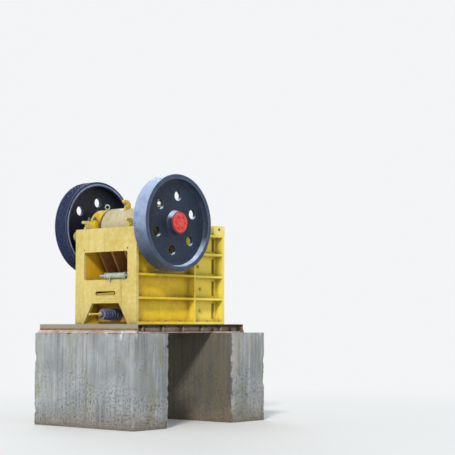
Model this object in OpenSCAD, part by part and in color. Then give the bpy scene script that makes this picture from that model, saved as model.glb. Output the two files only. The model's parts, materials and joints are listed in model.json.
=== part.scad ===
// Jaw crusher with a 900 x 600 mm feed mouth, on the two concrete piers that hold it.
// +X points to the feed side, -Y to the smooth flywheel, +Z up. The origin lies on the
// ground under the middle of the piers. Crusher parts are drawn from the shaft axis
// (X) and from the underside of the crusher frame (Z).

/* [Piers] */
// Length over both piers, along X
plinth_l = 3150; // [3000:50:3600]
// Width of the piers along Y
plinth_w = 2240; // [2200:20:2600]
// Height of the piers above the ground
plinth_h = 1460; // [900:20:2000]
// Start of the discharge gap, from the rear end of the piers
gap_from = 790; // [700:10:850]
// Length of the discharge gap
gap_l = 1490; // [1400:10:1540]
// Chamfer on the upright pier edges
pier_chamfer = 25; // [10:5:60]

/* [Base frame] */
// Shaft axis, from the middle of the piers
shaft_x = -475; // [-500:5:-450]
// Height of the base beams
beam_h = 140; // [120:10:200]
// Flange width of the base beams
beam_w = 160; // [120:10:200]
// Flange thickness of the base beams
beam_flange = 16; // [12:1:24]
// Web thickness of the base beams
beam_web = 14; // [10:1:24]
// Rear end of the base frame, from the shaft axis
beam_rear = 1000; // [900:10:1050]
// Front end of the base frame, from the shaft axis
beam_front = 2000; // [1800:10:2020]
// Thickness of the stiffeners in the base beams
stiff_t = 14; // [8:1:20]
// Number of stiffeners in each base beam
stiff_n = 5; // [3:1:10]
// Width of the flanges of the cross channels
cross_w = 90; // [60:5:120]
// Wall of the cross channels
cross_t = 12; // [8:1:16]
// Length of the rear cross channel
cross_l = 2200; // [1400:20:2240]

/* [Crusher frame] */
// Height of the shaft axis above the frame underside
shaft_h = 1600; // [1550:10:1700]
// Outside of the rear wall, from the shaft axis
rear_x = 610; // [580:5:660]
// Front edge of the side plates, from the shaft axis
front_x = 1500; // [1450:10:1560]
// Step from the shaft axis down to the feed mouth
mouth_drop = 115; // [100:5:180]
// Thickness of the rear wall
rear_t = 50; // [30:1:60]
// Depth of the flange along the rear wall's top edge
lip_d = 70; // [40:5:90]
// Thickness of the side plates
side_t = 50; // [30:1:60]
// Depth of the ribs outside the side plates
rib_d = 145; // [90:5:160]
// Thickness of the ribs
rib_t = 36; // [20:1:40]
// Height of the top rib
rib_top = 1170; // [1000:10:1250]
// Spacing of the horizontal ribs
rib_pitch = 370; // [300:10:380]
// Upright rib, from the shaft axis
rib_x = 740; // [660:10:800]
// Thickness of the base flange
foot_t = 40; // [24:2:60]
// Radius of the hopper bolt holes in the mouth flange
hopper_r = 11; // [8:1:14]
// Spacing of the hopper bolt holes along X
hopper_pitch = 500; // [300:10:560]
// Distance of the hopper bolt holes from the flange's edge
hopper_edge = 45; // [30:1:60]
// Thickness of the front flange
flange_t = 50; // [30:1:60]
// Width of the slots in the side plates
slot_w = 64; // [40:4:80]
// Distance from the slots to the ribs
slot_gap = 45; // [20:5:80]
// Distance from the slots to the front edge
slot_edge = 100; // [80:5:120]

/* [Rear wall openings] */
// Width of the upper window
window_w = 980; // [800:10:1000]
// Underside of the upper window
window_z = 705; // [690:5:760]
// Height of the upper window
window_h = 445; // [300:5:500]
// Corner radius of the upper window
window_r = 35; // [10:5:60]
// Radius of the bolt holes above the window
guard_r = 13; // [8:1:18]
// Distance of those bolt holes above the window
guard_up = 40; // [25:5:60]
// Width of the wedge slot
wedge_slot_w = 450; // [300:10:600]
// Height of the wedge slot
wedge_slot_h = 64; // [40:2:80]
// Middle of the wedge slot above the frame underside
wedge_slot_z = 488; // [470:2:520]
// Height of the shim pack in the wedge slot
shim_h = 52; // [30:1:58]
// Fall of the shim pack towards its far end
shim_fall = 16; // [5:1:20]
// Width of the lower opening at its top
lower_top_w = 600; // [400:10:700]
// Width of the lower opening at its bottom
lower_foot_w = 1000; // [800:10:1040]
// Height of the lower opening
lower_h = 330; // [240:5:340]

/* [Crushing chamber] */
// Width of the jaws along Y
jaw_w = 900; // [800:10:940]
// Feed mouth between the jaw plates
gape = 600; // [560:5:640]
// Face of the fixed jaw plate, from the shaft axis
fixed_face = 1000; // [980:5:1040]
// Narrowest gap between the jaw plates at rest
discharge = 100; // [60:5:120]
// Thickness of the jaw plates over their teeth
jaw_plate_t = 90; // [60:5:110]
// Depth of the jaw teeth
tooth_d = 32; // [16:2:45]
// Number of jaw teeth
tooth_n = 10; // [6:1:14]
// Plain margin beside the teeth
tooth_margin = 10; // [5:1:20]
// Upper end of the swing jaw face, below the feed mouth
face_drop = 45; // [10:5:60]
// Lower end of the jaw faces
face_low = 180; // [140:5:220]
// Thickness of the cheek plates
cheek_t = 36; // [20:1:45]
// Running gap between the jaws and the cheek plates
cheek_gap = 8; // [6:1:12]
// Thickness of the front wall
wall_t = 60; // [40:2:80]
// Height of the front top beam
top_beam_h = 155; // [120:5:220]
// Length of the front top beam along X
top_beam_l = 280; // [240:10:360]
// Reach of the front top beam past the front flange
top_lip = 10; // [5:5:60]
// Radius of the cross hole in the front top beam
top_hole_r = 27; // [15:1:35]

/* [Shaft and bearings] */
// Throw of the eccentric shaft
throw_r = 19; // [10:1:24]
// Radius of the shaft in the frame bearings
journal_r = 105; // [80:5:120]
// Radius of the eccentric inside the swing jaw
ecc_r = 135; // [130:1:145]
// Distance of the eccentric's ends from the swing jaw's ends
seal_gap = 5; // [2:1:15]
// Radius of the shaft in the wheels
seat_r = 88; // [60:2:95]
// Outer radius of the frame bearing housings
housing_r = 290; // [260:5:300]
// Half length of the housing flanges along X
housing_l = 400; // [360:5:420]
// Thickness of the housing flanges
housing_t = 70; // [50:5:80]
// Width of the bearing housings along Y
housing_w = 235; // [200:5:245]
// Gap between the swing jaw and the bearing housings
housing_gap = 20; // [16:1:26]
// Radius of the stud bosses on the bearing caps
boss_r = 40; // [30:1:44]
// Thickness of the gusset on the bearing caps
gusset_t = 36; // [20:2:50]
// Thickness of the bearing covers
cover_t = 20; // [12:1:30]
// Gap between the bearing covers and the shaft
cover_gap = 6; // [5:0.5:10]
// Radial running clearance of the shaft
run_gap = 0.1; // [0.05:0.01:0.3]
// Ring radius of the lifting eyes
eye_r = 36; // [28:1:44]
// Bar radius of the lifting eyes
eye_bar = 11; // [8:1:14]

/* [Wheels] */
// Outer radius of the flywheel and the pulley
wheel_r = 770; // [700:10:800]
// Width of the wheel rims
wheel_w = 270; // [220:5:290]
// Radial thickness of the wheel rims
rim_t = 75; // [60:5:90]
// Thickness of the wheel webs
web_t = 60; // [40:5:80]
// Depth of the recess on the outer side of the wheels
recess = 90; // [60:5:110]
// Radius of the wheel hubs
hub_r = 178; // [164:2:200]
// Draft of the rims and hubs towards the web
draft = 12; // [4:1:20]
// Blend between the web and the rim or hub
blend = 24; // [10:1:30]
// Chamfer on the rim edges
rim_chamfer = 8; // [3:1:12]
// Radius of the web holes
hole_r = 78; // [50:2:90]
// Pitch radius of the web holes
hole_pitch = 438; // [400:5:480]
// Number of web holes
hole_n = 6; // [4:1:8]
// Turn of the first web hole past the top
hole_turn = 8.5; // [0:0.5:50]
// Gap between the bearing covers and the wheel hubs
hub_gap = 20; // [16:1:30]
// Inner face of the wheel rims, from the hub end
rim_inset = 15; // [5:1:30]
// Outer end of the hubs, past the rims
hub_out = 10; // [0:1:20]
// Number of belt grooves in the pulley
groove_n = 8; // [4:1:8]
// Pitch of the belt grooves
groove_pitch = 28; // [24:1:30]
// Depth of the belt grooves
groove_d = 20; // [14:1:22]
// Radius of the shaft end caps
cap_r = 160; // [120:5:164]
// Thickness of the shaft end caps
cap_t = 30; // [15:1:40]

/* [Swing jaw] */
// Outer radius of the swing jaw head
head_r = 315; // [290:5:320]
// Radius of the seal rings on the head's ends
ring_r = 225; // [180:5:235]
// Thickness of the seal rings
ring_t = 8; // [4:1:10]
// Thickness of the swing jaw front slab
slab_t = 60; // [40:5:80]
// Thickness of the ribs on the back of the swing jaw
jaw_rib_t = 40; // [25:5:60]
// Rib distance from the middle of the jaw
jaw_rib_y = 150; // [120:5:200]
// Straight drop of the ribs below the head's middle
rib_drop = 440; // [380:10:480]
// Height of the clamp bar over the swing jaw plate
clamp_h = 70; // [50:5:90]
// Slope of the clamp bar's front
clamp_in = 50; // [30:5:60]

/* [Toggle and tension gear] */
// Rear toggle pivot, from the shaft axis
toggle_rear_x = -120; // [-140:5:-100]
// Height of the rear toggle pivot
toggle_rear_z = 530; // [510:5:550]
// Front toggle pivot, from the shaft axis
toggle_front_x = 440; // [420:5:450]
// Height of the front toggle pivot
toggle_front_z = 400; // [390:5:420]
// Radius of the toggle plate ends
toggle_r = 28; // [20:1:34]
// Thickness of the toggle plate between its ends
toggle_t = 36; // [24:2:44]
// Width of the toggle plate
toggle_w = 700; // [500:10:760]
// Wall of the swing jaw's toggle seat
seat_wall = 30; // [20:1:36]
// Free gap kept round each opened pivot over the travel
free_gap = 6; // [5:0.5:9]
// Thickness of the plates of the toggle beam
shelf_t = 45; // [30:1:60]
// Rear face of the toggle beam's web, from the rear wall
web_in = 130; // [110:5:150]
// Length of each adjusting wedge
wedge_l = 420; // [360:10:440]
// Thin end of a wedge
wedge_thin = 55; // [40:1:65]
// Thick end of a wedge
wedge_thick = 95; // [80:1:105]
// Height of the tension rod above the frame underside
rod_z = 155; // [150:5:165]
// Radius of the tension rod
rod_r = 18; // [14:1:24]
// Rear end of the tension rod, from the shaft axis
rod_rear = 950; // [860:10:1000]
// Pin of the tension rod, from the shaft axis
rod_pin_x = 640; // [620:5:660]
// Radius of the tension rod pin
rod_pin_r = 18; // [12:1:22]
// Outer radius of the tension spring
spring_r = 92; // [80:2:110]
// Radius of the spring wire
wire_r = 15; // [10:1:18]
// Length of the tension spring
spring_l = 360; // [320:10:420]
// Turns of the tension spring
spring_turns = 6; // [4:1:8]
// Rear face of the spring bracket, from the rear wall
spring_in = 260; // [240:5:280]
// Thickness of the spring bracket
bracket_t = 40; // [25:5:50]
// Radius of the adjusting screw sleeve
sleeve_r = 48; // [36:1:52]
// Length of the adjusting screw sleeve
sleeve_l = 420; // [300:10:460]
// Radius of the adjusting screw stem
stem_r = 20; // [14:1:28]
// Free length of the adjusting screw stem
stem_l = 150; // [100:10:200]

/* [Lifting points] */
// Radius of the lifting trunnions
trunnion_r = 85; // [60:5:95]
// Reach of the lifting trunnions past the ribs
trunnion_l = 100; // [60:5:110]
// Collar on the ends of the lifting trunnions
collar = 12; // [5:1:20]
// Thickness of the lifting hooks
hook_t = 40; // [25:5:60]
// Length of the lifting hooks
hook_l = 170; // [140:5:200]
// Hook on the swing jaw, behind the shaft axis
jaw_hook_x = 120; // [80:5:150]

/* [Hidden] */
$fn = 64;
cream = [0.93, 0.82, 0.42];
yellow = [0.90, 0.72, 0.15];
dark = [0.18, 0.21, 0.27];
steel = [0.62, 0.64, 0.65];
brown = [0.36, 0.25, 0.17];
concrete = [0.66, 0.67, 0.66];
red = [0.82, 0.16, 0.18];

e = 1;                                         // overlap of cutting shapes
seat_gap = 0.3;                                // gap between curved faces that seat

// heights and widths of the frame
base_z = plinth_h + beam_h;                    // underside of the crusher frame
gap_x = -plinth_l / 2 + gap_from;              // rear face of the discharge gap
rear_h = shaft_h - housing_t;                  // top of the rear wall
mouth_h = shaft_h - mouth_drop;                // top of the side plates at the mouth
side_in = jaw_w / 2 + cheek_gap + cheek_t;     // inner face of the side plates
side_out = side_in + side_t;
half_w = side_out + rib_d;                     // outside of the ribs
hopper_x = (housing_l + front_x - flange_t) / 2 - 2 * hopper_edge;
hopper_y = half_w - hopper_edge;
inner_rear = -rear_x + rear_t;                 // inner face of the rear wall
inner_front = front_x - flange_t;              // inner face of the front flange
beam_inset = 20;                               // base beam flange under the side plate
beam_y = side_out + beam_w / 2 - beam_inset;   // middle of the base beams
rib_z = [for (i = [0 : 2]) rib_top - i * rib_pitch];
bays = [[rib_z[0], mouth_h - rib_t], [rib_z[1], rib_z[0] - rib_t],
    [rib_z[2], rib_z[1] - rib_t], [foot_t, rib_z[2] - rib_t]];
housing_y = jaw_w / 2 + housing_gap;           // inner end of the bearing housings
pedestal_x = housing_l / 2;                    // ribs under the bearing housings
stud_x = housing_l - 1.15 * boss_r;            // studs of the bearing caps
stud_y = housing_w / 2 - 1.15 * boss_r;

// jaws
face_top = mouth_h - face_drop;                // upper end of the swing jaw face
jaw_dz = face_top - face_low;
jaw_a = atan((gape - discharge) / jaw_dz);     // tilt of the swing jaw face
face_x = fixed_face - gape;                    // swing jaw face at its top
face_l = jaw_dz / cos(jaw_a);
jaw_back = jaw_plate_t + slab_t;               // back of the slab, from the face
rest_z = shaft_h - throw_r;                    // jaw axis with the throw straight down
ledge = 50;                                    // seat under the fixed jaw plate
tooth_p = (jaw_w - 2 * tooth_margin) / tooth_n;

// wheels, along Y
hub_y = housing_y + housing_w + cover_t + hub_gap;
rim_y = hub_y + rim_inset;
web_y = rim_y + wheel_w - recess - web_t;
hub_l = rim_y + wheel_w + hub_out - hub_y;
cap_y = hub_y + hub_l;
rim_in = wheel_r - rim_t;

// toggle beam, wedges and toggle
beam_clear = 8;                                // toggle beam under the window sill
beam_top = window_z - beam_clear;
beam_low = lower_h + 20;                       // underside of the toggle beam
pocket_low = beam_low + shelf_t;
pocket_top = beam_top - shelf_t;
web_x = inner_rear + web_in;                   // rear face of the wedge pocket
wedge_x = web_x + shelf_t;                     // back of the wedges
wedge_gap = 20;                                // half gap between the two wedges
shim_in = 8;                                   // shim pack behind the rear wall's face
seat_lip = 10;                                 // toggle block in front of its pivot
block_x = toggle_rear_x + seat_lip;
shelf_x = block_x - shelf_t * 2 / 3;           // front edge of the toggle beam
toggle_seat_in = toggle_r + throw_r + free_gap;
toggle_seat_r = toggle_seat_in + seat_wall;    // outside of the jaw's toggle seat
seat_cast = toggle_seat_r + seat_wall * 2 / 3; // casting round the toggle seat
seat_from = 138;                               // casting round the toggle seat, in degrees
seat_to = -50;
neck_up = 300;                                 // neck of the jaw's ribs, above the rear pivot
toggle_dx = toggle_front_x - toggle_rear_x;
toggle_dz = toggle_front_z - toggle_rear_z;
toggle_a = atan(toggle_dz / toggle_dx);
toggle_l = norm([toggle_dx, toggle_dz]);

// tension gear
spring_x = inner_rear + spring_in;             // rear face of the spring bracket
spring_end = spring_x - spring_l;              // rear end of the tension spring
coil_l = spring_l - 2 * wire_r - 2 * seat_gap; // between the wire's ends
rod_clear = 8;                                 // rod in its bracket
washer_t = 18;                                 // spring washer
washer_r = spring_r - wire_r;
cup_r = spring_r - 2 * wire_r - 4;             // centring rings inside the spring
nut_r = 36;
nut_t = 30;
nut_gap = 2;
eye_hole = rod_pin_r + throw_r + free_gap;     // opened pivot of the tension rod
eye_wall = 20;
eye_w = 44;                                    // width of the rod eye
lug_gap = 8;                                   // between the rod eye and the jaw's lugs
lug_t = 26;                                    // thickness of the jaw's lugs
lug_wall = 24;                                 // lug round the pin
pin_end = 12;                                  // pin past the lugs

// adjusting screw
screw_flange = 8;                              // step of the screw's flanges
flange_w = 20;                                 // width of the screw's flanges
screw_low = 2;                                 // flanges above the window's sill
screw_z = window_z + sleeve_r + screw_flange + screw_low;
screw_x = -rear_x + screw_flange;
screw_y = -window_w / 2;                       // end that is held at the window's side
sleeve_y = screw_y + window_r;                 // sleeve, clear of the rounded corner
prop_w = 16;                                   // thickness of the screw's brackets
prop_l = 30;                                   // half length of the brackets along X
latch_l = 34;                                  // latch below the window sill
latch_x = -rear_x - 12;                        // latch, clear of the wall
latch_t = 22;

// lifting points
trunnion_x = inner_rear + trunnion_r + seat_gap;
trunnion_z = rear_h - trunnion_r - 1.5 * collar;
hook_y = side_in - hook_t / 2;                 // inner face of the lifting hooks

// places children in crusher coordinates
module crusher() translate([shaft_x, 0, base_z]) children();

// extrudes an X-Z outline along Y from y0
module slab_y(y0, t) translate([0, y0 + t, 0]) rotate([90, 0, 0]) linear_extrude(t) children();

// extrudes a Y-Z outline along X from x0
module slab_x(x0, t) translate([x0, 0, 0]) rotate([90, 0, 90]) linear_extrude(t) children();

// cylinder along Y from y0, about the X-Z point at
module rod_y(at, r, y0, l) translate([at[0], y0 + l, at[1]]) rotate([90, 0, 0]) cylinder(r = r, h = l);

// cylinder along X from x0, about the middle plane at height z
module rod_x(x0, l, z, r) translate([x0, 0, z]) rotate([0, 90, 0]) cylinder(r = r, h = l);

// revolves a section about an axis along Y at height z: section x is the radius
module turn_y(y0, z) translate([0, y0, z]) rotate([-90, 0, 0]) rotate_extrude($fn = 128) children();

// the same shape on the near side (-Y) or on the far side (+Y)
module side(s) mirror([0, s < 0 ? 1 : 0, 0]) children();

// box from a low corner and a high corner
module span(a, b) translate(a) cube(b - a);

module round_rect(w, h, r) {
    square([w - 2 * r, h], center = true);
    square([w, h - 2 * r], center = true);
    for (x = [-1, 1], z = [-1, 1]) translate([x * (w / 2 - r), z * (h / 2 - r)]) circle(r);
}

// point at angle a round c
function polar(c, r, a) = c + r * [cos(a), sin(a)];

// point in jaw coordinates: origin at the top of the jaw face, y up along the face
function jaw_pt(x, y) = [face_x + x * cos(jaw_a) - y * sin(jaw_a),
    face_top - throw_r + x * sin(jaw_a) + y * cos(jaw_a)];

module jaw_axes() translate(jaw_pt(0, 0)) rotate(jaw_a) children();

module pier(x0, l) {
    c = pier_chamfer;
    w = plinth_w / 2;
    translate([x0, 0, 0]) linear_extrude(plinth_h)
        polygon([[c, -w], [l - c, -w], [l, c - w], [l, w - c], [l - c, w], [c, w], [0, w - c], [0, c - w]]);
}

module rear_pier() color(concrete) pier(-plinth_l / 2, gap_from);

module front_pier() color(concrete) pier(gap_x + gap_l, plinth_l - gap_from - gap_l);

// I-beam between the cross channels, with stiffeners between its flanges
module base_beam(s) color(steel) side(s) crusher() translate([cross_w - beam_rear, beam_y, -beam_h]) {
    l = beam_rear + beam_front - 2 * cross_w;
    slab_x(0, l) {
        translate([-beam_w / 2, 0]) square([beam_w, beam_flange]);
        translate([-beam_w / 2, beam_h - beam_flange]) square([beam_w, beam_flange]);
        translate([-beam_web / 2, 0]) square([beam_web, beam_h]);
    }
    for (i = [1 : stiff_n]) translate([i * l / (stiff_n + 1), 0, beam_flange - e])
        span([0, stiff_t - beam_w / 2, 0],
            [stiff_t, beam_w / 2 - stiff_t, beam_h - 2 * beam_flange + 2 * e]);
}

// channel across the ends of the base beams, half as long as y, web outward
module cross_beam(x0, y, inward) color(steel) crusher() difference() {
    span([x0, -y, -beam_h], [x0 + cross_w, y, 0]);
    translate([inward * cross_t, 0, 0])
        span([x0, -y - e, cross_t - beam_h], [x0 + cross_w, y + e, -cross_t]);
}

module rear_cross_beam() cross_beam(-beam_rear, cross_l / 2, 1);

module front_cross_beam() cross_beam(beam_front - cross_w, beam_y + beam_w / 2, -1);

// outline of a side plate in X and Z
module side_outline() difference() {
    union() {
        translate([inner_rear, 0]) square([housing_l - inner_rear, rear_h]);
        translate([housing_l - e, 0]) square([inner_front - housing_l + e, mouth_h]);
    }
    for (i = [0 : len(bays) - 1]) {
        low = bays[i][0] + slot_gap;
        high = bays[i][1] - (i == 0 ? slot_gap / 5 : slot_gap);
        translate([front_x - slot_edge - slot_w, low]) square([slot_w, high - low]);
    }
}

module side_plate(s) color(yellow) side(s) crusher() difference() {
    union() {
        slab_y(side_in, side_t) side_outline();
        // base flange
        span([inner_rear, side_in, 0], [front_x, half_w, foot_t]);
        // horizontal ribs
        for (z = rib_z) span([inner_rear, side_out - e, z - rib_t], [inner_front, half_w, z]);
        // flange round the feed mouth
        span([housing_l, side_out - e, mouth_h - rib_t], [inner_front, half_w, mouth_h]);
        // upright ribs
        span([rib_x, side_out - e, foot_t - e], [rib_x + rib_t, half_w, rib_z[0]]);
        // front flange
        span([inner_front, side_in, 0], [front_x, half_w, mouth_h]);
        // ribs under the bearing housing
        for (x = [-pedestal_x, pedestal_x - rib_t])
            span([x, side_out - e, rib_z[0] - e], [x + rib_t, half_w, rear_h]);
    }
    rod_y([0, shaft_h], housing_r + seat_gap, side_in - e, rib_d + side_t + 2 * e);
    for (x = [-0.5, 0.5]) translate([hopper_x + x * hopper_pitch, hopper_y, mouth_h - rib_t - e])
        cylinder(r = hopper_r, h = rib_t + 2 * e);
}

module rear_wall() color(cream) crusher() difference() {
    union() {
        slab_x(-rear_x, rear_t) difference() {
            translate([-half_w, 0]) square([2 * half_w, rear_h]);
            translate([0, window_z + window_h / 2]) round_rect(window_w, window_h, window_r);
            translate([0, wedge_slot_z]) round_rect(wedge_slot_w, wedge_slot_h, wedge_slot_h / 2 - 1);
            polygon([[-lower_foot_w / 2, -e], [lower_foot_w / 2, -e],
                [lower_top_w / 2, lower_h], [-lower_top_w / 2, lower_h]]);
        }
        // flange along the top edge
        span([inner_rear - e, -side_in, rear_h - rib_t], [inner_rear + lip_d, side_in, rear_h]);
    }
    for (y = [-1, 1]) translate([0, y * window_w / 2, 0])
        rod_x(-rear_x - e, rear_t + 2 * e, window_z + window_h + guard_up, guard_r);
}

module front_wall() color(yellow) crusher() {
    x = fixed_face + jaw_plate_t;
    span([x, -side_in, 0], [x + wall_t, side_in, mouth_h]);
    // ledge that carries the fixed jaw plate
    span([fixed_face + tooth_d, -side_in + cheek_t, face_low - ledge], [x + e, side_in - cheek_t, face_low]);
    for (z = [mouth_h, each rib_z, foot_t])
        span([x + wall_t - e, -side_in, z - rib_t], [front_x, side_in, z]);
    // uprights, the outer pair close behind the slots of the side plates
    for (y = [side_in / 3, side_in - slot_edge / 2], s = [-1, 1])
        span([x + wall_t - e, s * y - rib_t / 2, 0], [front_x - beam_inset, s * y + rib_t / 2, mouth_h]);
}

module front_top_beam() color(yellow) crusher() {
    rear = front_x + top_lip - top_beam_l;
    c = top_beam_h / 10;
    difference() {
        slab_y(-half_w, 2 * half_w) translate([rear, mouth_h])
            polygon([[0, 0], [top_beam_l, 0], [top_beam_l, top_beam_h - c],
                [top_beam_l - c, top_beam_h], [c, top_beam_h], [0, top_beam_h - c]]);
        rod_y([rear + top_beam_l / 2, mouth_h + top_beam_h * 0.6], top_hole_r,
            -half_w - e, 2 * half_w + 2 * e);
    }
}

module toggle_beam() color(brown) crusher() {
    span([inner_rear, -side_in, beam_low], [shelf_x, side_in, pocket_low]);
    span([inner_rear, -side_in, pocket_top], [shelf_x, side_in, beam_top]);
    span([web_x, -side_in, beam_low], [wedge_x, side_in, beam_top]);
    // ribs beside the wedge slot
    for (s = [-1, 1]) side(s) span([inner_rear, wedge_slot_w / 2 + rib_t, pocket_low - e],
        [web_x + e, wedge_slot_w / 2 + 2 * rib_t, pocket_top + e]);
}

// outline of the lower or upper half of a bearing housing, up = 1 for the cap
module housing_half(up) difference() {
    union() {
        intersection() {
            circle(housing_r);
            translate([-housing_r, up > 0 ? 0 : -housing_r]) square([2 * housing_r, housing_r]);
        }
        translate([-housing_l, up > 0 ? 0 : -housing_t]) square([2 * housing_l, housing_t]);
    }
    circle(journal_r + run_gap);
}

module bearing_seat(s) color(yellow) side(s) crusher()
    slab_y(housing_y, housing_w) translate([0, shaft_h]) housing_half(-1);

module bearing_cap(s) color(yellow) side(s) crusher() {
    mid = housing_y + housing_w / 2;
    top = housing_r / sqrt(2);
    slab_y(housing_y, housing_w) translate([0, shaft_h]) housing_half(1);
    // gussets from the dome to the flange
    for (x = [-1, 1]) slab_y(mid - gusset_t / 2, gusset_t) translate([0, shaft_h])
        polygon([[x * (housing_l - gusset_t / 2), housing_t - e], [x * top, top],
            [x * (housing_r - rib_t), housing_t - e]]);
    // stud bosses
    for (x = [-1, 1], y = [-1, 1]) translate([x * stud_x, mid + y * stud_y, shaft_h + housing_t - e])
        cylinder(r = boss_r, h = rib_t / 2 + e);
}

module bearing_cover(s) color(yellow) side(s) crusher() turn_y(housing_y + housing_w, shaft_h) {
    r = housing_r - boss_r;
    c = cover_t / 4;
    bore = journal_r + cover_gap;
    ring = bore + 2 * cover_t;
    // plate with a chamfered edge and a raised seal ring
    polygon([[bore, 0], [r, 0], [r, cover_t - c], [r - c, cover_t], [ring + c, cover_t],
        [ring, cover_t + hub_gap / 3], [bore, cover_t + hub_gap / 3]]);
}

// eye bolts on top of the bearing caps, turned half way towards the rear
module lifting_eyes() color(steel) crusher() for (s = [-1, 1]) side(s)
    translate([0, housing_y + housing_w / 2, shaft_h + housing_r + seat_gap]) rotate([0, 0, -45 * s]) {
        cylinder(r = eye_r, h = eye_bar);
        translate([0, 0, eye_bar + eye_r]) rotate([90, 0, 0]) rotate_extrude($fn = 48)
            translate([eye_r, 0]) circle(eye_bar, $fn = 24);
    }

module cheek_plate(s) color(brown) side(s) crusher() slab_y(side_in - cheek_t, cheek_t) difference() {
    low = face_low - ledge;
    x = fixed_face + jaw_plate_t;
    polygon([[x, low], [x, mouth_h], [face_x - jaw_back, mouth_h],
        [face_x - jaw_back, mouth_h - mouth_drop], [fixed_face - discharge - jaw_back, low]]);
    translate([0, shaft_h]) circle(housing_r + seat_gap);
}

// plan outline of a toothed jaw plate, back at x = 0, teeth towards -x
module teeth_outline() {
    root = tooth_d - jaw_plate_t;
    y0 = tooth_margin - jaw_w / 2;
    polygon([[0, -jaw_w / 2], [root, -jaw_w / 2], each [for (i = [0 : tooth_n - 1]) each [
        [root, y0 + i * tooth_p], [-jaw_plate_t, y0 + (i + 0.3) * tooth_p],
        [-jaw_plate_t, y0 + (i + 0.7) * tooth_p]]],
        [root, -y0], [root, jaw_w / 2], [0, jaw_w / 2]]);
}

module fixed_jaw_plate() color(steel) crusher()
    translate([fixed_face + jaw_plate_t, 0, face_low]) linear_extrude(face_top - face_low) teeth_outline();

// plan outline of the far adjusting wedge
module wedge_outline() polygon([[wedge_x, wedge_gap], [wedge_x, wedge_gap + wedge_l],
    [wedge_x + wedge_thin, wedge_gap + wedge_l], [wedge_x + wedge_thick, wedge_gap]]);

module adjusting_wedges() color(steel) crusher() {
    for (s = [-1, 1]) side(s)
        translate([0, 0, pocket_low]) linear_extrude(pocket_top - pocket_low) wedge_outline();
    // shim pack through the wedge slot of the rear wall
    w = wedge_slot_w / 2 - wedge_slot_h / 2;
    slab_x(shim_in - rear_x, web_x + rear_x - shim_in) translate([0, wedge_slot_z - wedge_slot_h / 2])
        polygon([[-w, 0], [w, 0], [w, shim_h - shim_fall], [-w, shim_h]]);
}

module toggle_block() color(steel) crusher() difference() {
    w = wedge_gap + wedge_l;
    r = toggle_r + seat_gap;
    translate([0, 0, pocket_low]) linear_extrude(pocket_top - pocket_low)
        polygon([[wedge_x + wedge_thick, -wedge_gap], [wedge_x + wedge_thick, wedge_gap],
            [wedge_x + wedge_thin, w], [block_x, w], [block_x, -w], [wedge_x + wedge_thin, -w]]);
    rod_y([toggle_rear_x, toggle_rear_z], r, -side_in, 2 * side_in);
    span([toggle_rear_x, -side_in, toggle_rear_z - r], [block_x + e, side_in, toggle_rear_z + r]);
}

// plate with round ends, thicker towards them
module toggle_plate() color(steel) crusher() {
    a = toggle_t / 2;
    b = toggle_r * 0.9;
    for (p = [[toggle_rear_x, toggle_rear_z], [toggle_front_x, toggle_front_z]])
        rod_y(p, toggle_r, -toggle_w / 2, toggle_w);
    slab_y(-toggle_w / 2, toggle_w) translate([toggle_rear_x, toggle_rear_z]) rotate(toggle_a)
        polygon([[0, -b], [toggle_l / 4, -a], [toggle_l * 3 / 4, -a], [toggle_l, -b],
            [toggle_l, b], [toggle_l * 3 / 4, a], [toggle_l / 4, a], [0, b]]);
}

// sleeve with flanges, held by a stub at the window's side, and its stem
module adjusting_screw() color(steel) crusher() {
    at = [screw_x, screw_z];
    end = sleeve_y + sleeve_l;
    rod_y(at, stem_r, screw_y, window_r + e);
    rod_y(at, sleeve_r + screw_flange, sleeve_y, flange_w);
    rod_y(at, sleeve_r, sleeve_y, sleeve_l);
    rod_y(at, sleeve_r + screw_flange, end, flange_w);
    rod_y(at, stem_r, end, stem_l);
    // latch that hangs in front of the wall
    span([latch_x - latch_t, end - 5 * flange_w, window_z - latch_l],
        [latch_x, end - 4 * flange_w, screw_z]);
}

module screw_brackets() color(cream) crusher()
    for (y = [sleeve_y + 2 * flange_w, sleeve_y + sleeve_l - 2 * flange_w])
        difference() {
            span([screw_x - prop_l, y, window_z], [screw_x + prop_l, y + prop_w, screw_z]);
            rod_y([screw_x, screw_z], sleeve_r + seat_gap, y - e, prop_w + 2 * e);
        }

// cross wall with the spring's seat ring
module spring_bracket() color(yellow) crusher() difference() {
    union() {
        span([spring_x, -side_in, foot_t], [spring_x + bracket_t, side_in, rod_z + spring_r + bracket_t]);
        rod_x(spring_x - wire_r, wire_r + e, rod_z, cup_r);
    }
    rod_x(spring_x - wire_r - e, wire_r + bracket_t + 2 * e, rod_z, rod_r + rod_clear);
}

module tension_rod() color(steel) crusher() {
    rod_x(-rod_rear, rod_rear + rod_pin_x - eye_hole - eye_wall / 2, rod_z, rod_r);
    // cupped washer behind the spring, and two nuts
    rod_x(spring_end - washer_t - seat_gap, washer_t, rod_z, washer_r);
    rod_x(spring_end - seat_gap - e, wire_r + e, rod_z, cup_r);
    for (i = [1, 2]) rod_x(spring_end - washer_t - seat_gap - i * nut_t - (i - 1) * nut_gap, nut_t,
        rod_z, nut_r, $fn = 6);
    // eye round the pin, opened by the travel of the jaw
    difference() {
        rod_y([rod_pin_x, rod_z + throw_r], eye_hole + eye_wall, -eye_w / 2, eye_w);
        rod_y([rod_pin_x, rod_z + throw_r], eye_hole, -eye_w / 2 - e, eye_w + 2 * e);
    }
}

// one ring of the spring wire
function wire_ring(k, n, m) = let(t = k / n, a = 360 * spring_turns * t, c = spring_r - wire_r)
    [for (j = [0 : m - 1]) let(b = 360 * j / m, r = c + wire_r * cos(b))
        [t * coil_l + wire_r + seat_gap + wire_r * sin(b), r * cos(a), r * sin(a)]];

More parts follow.
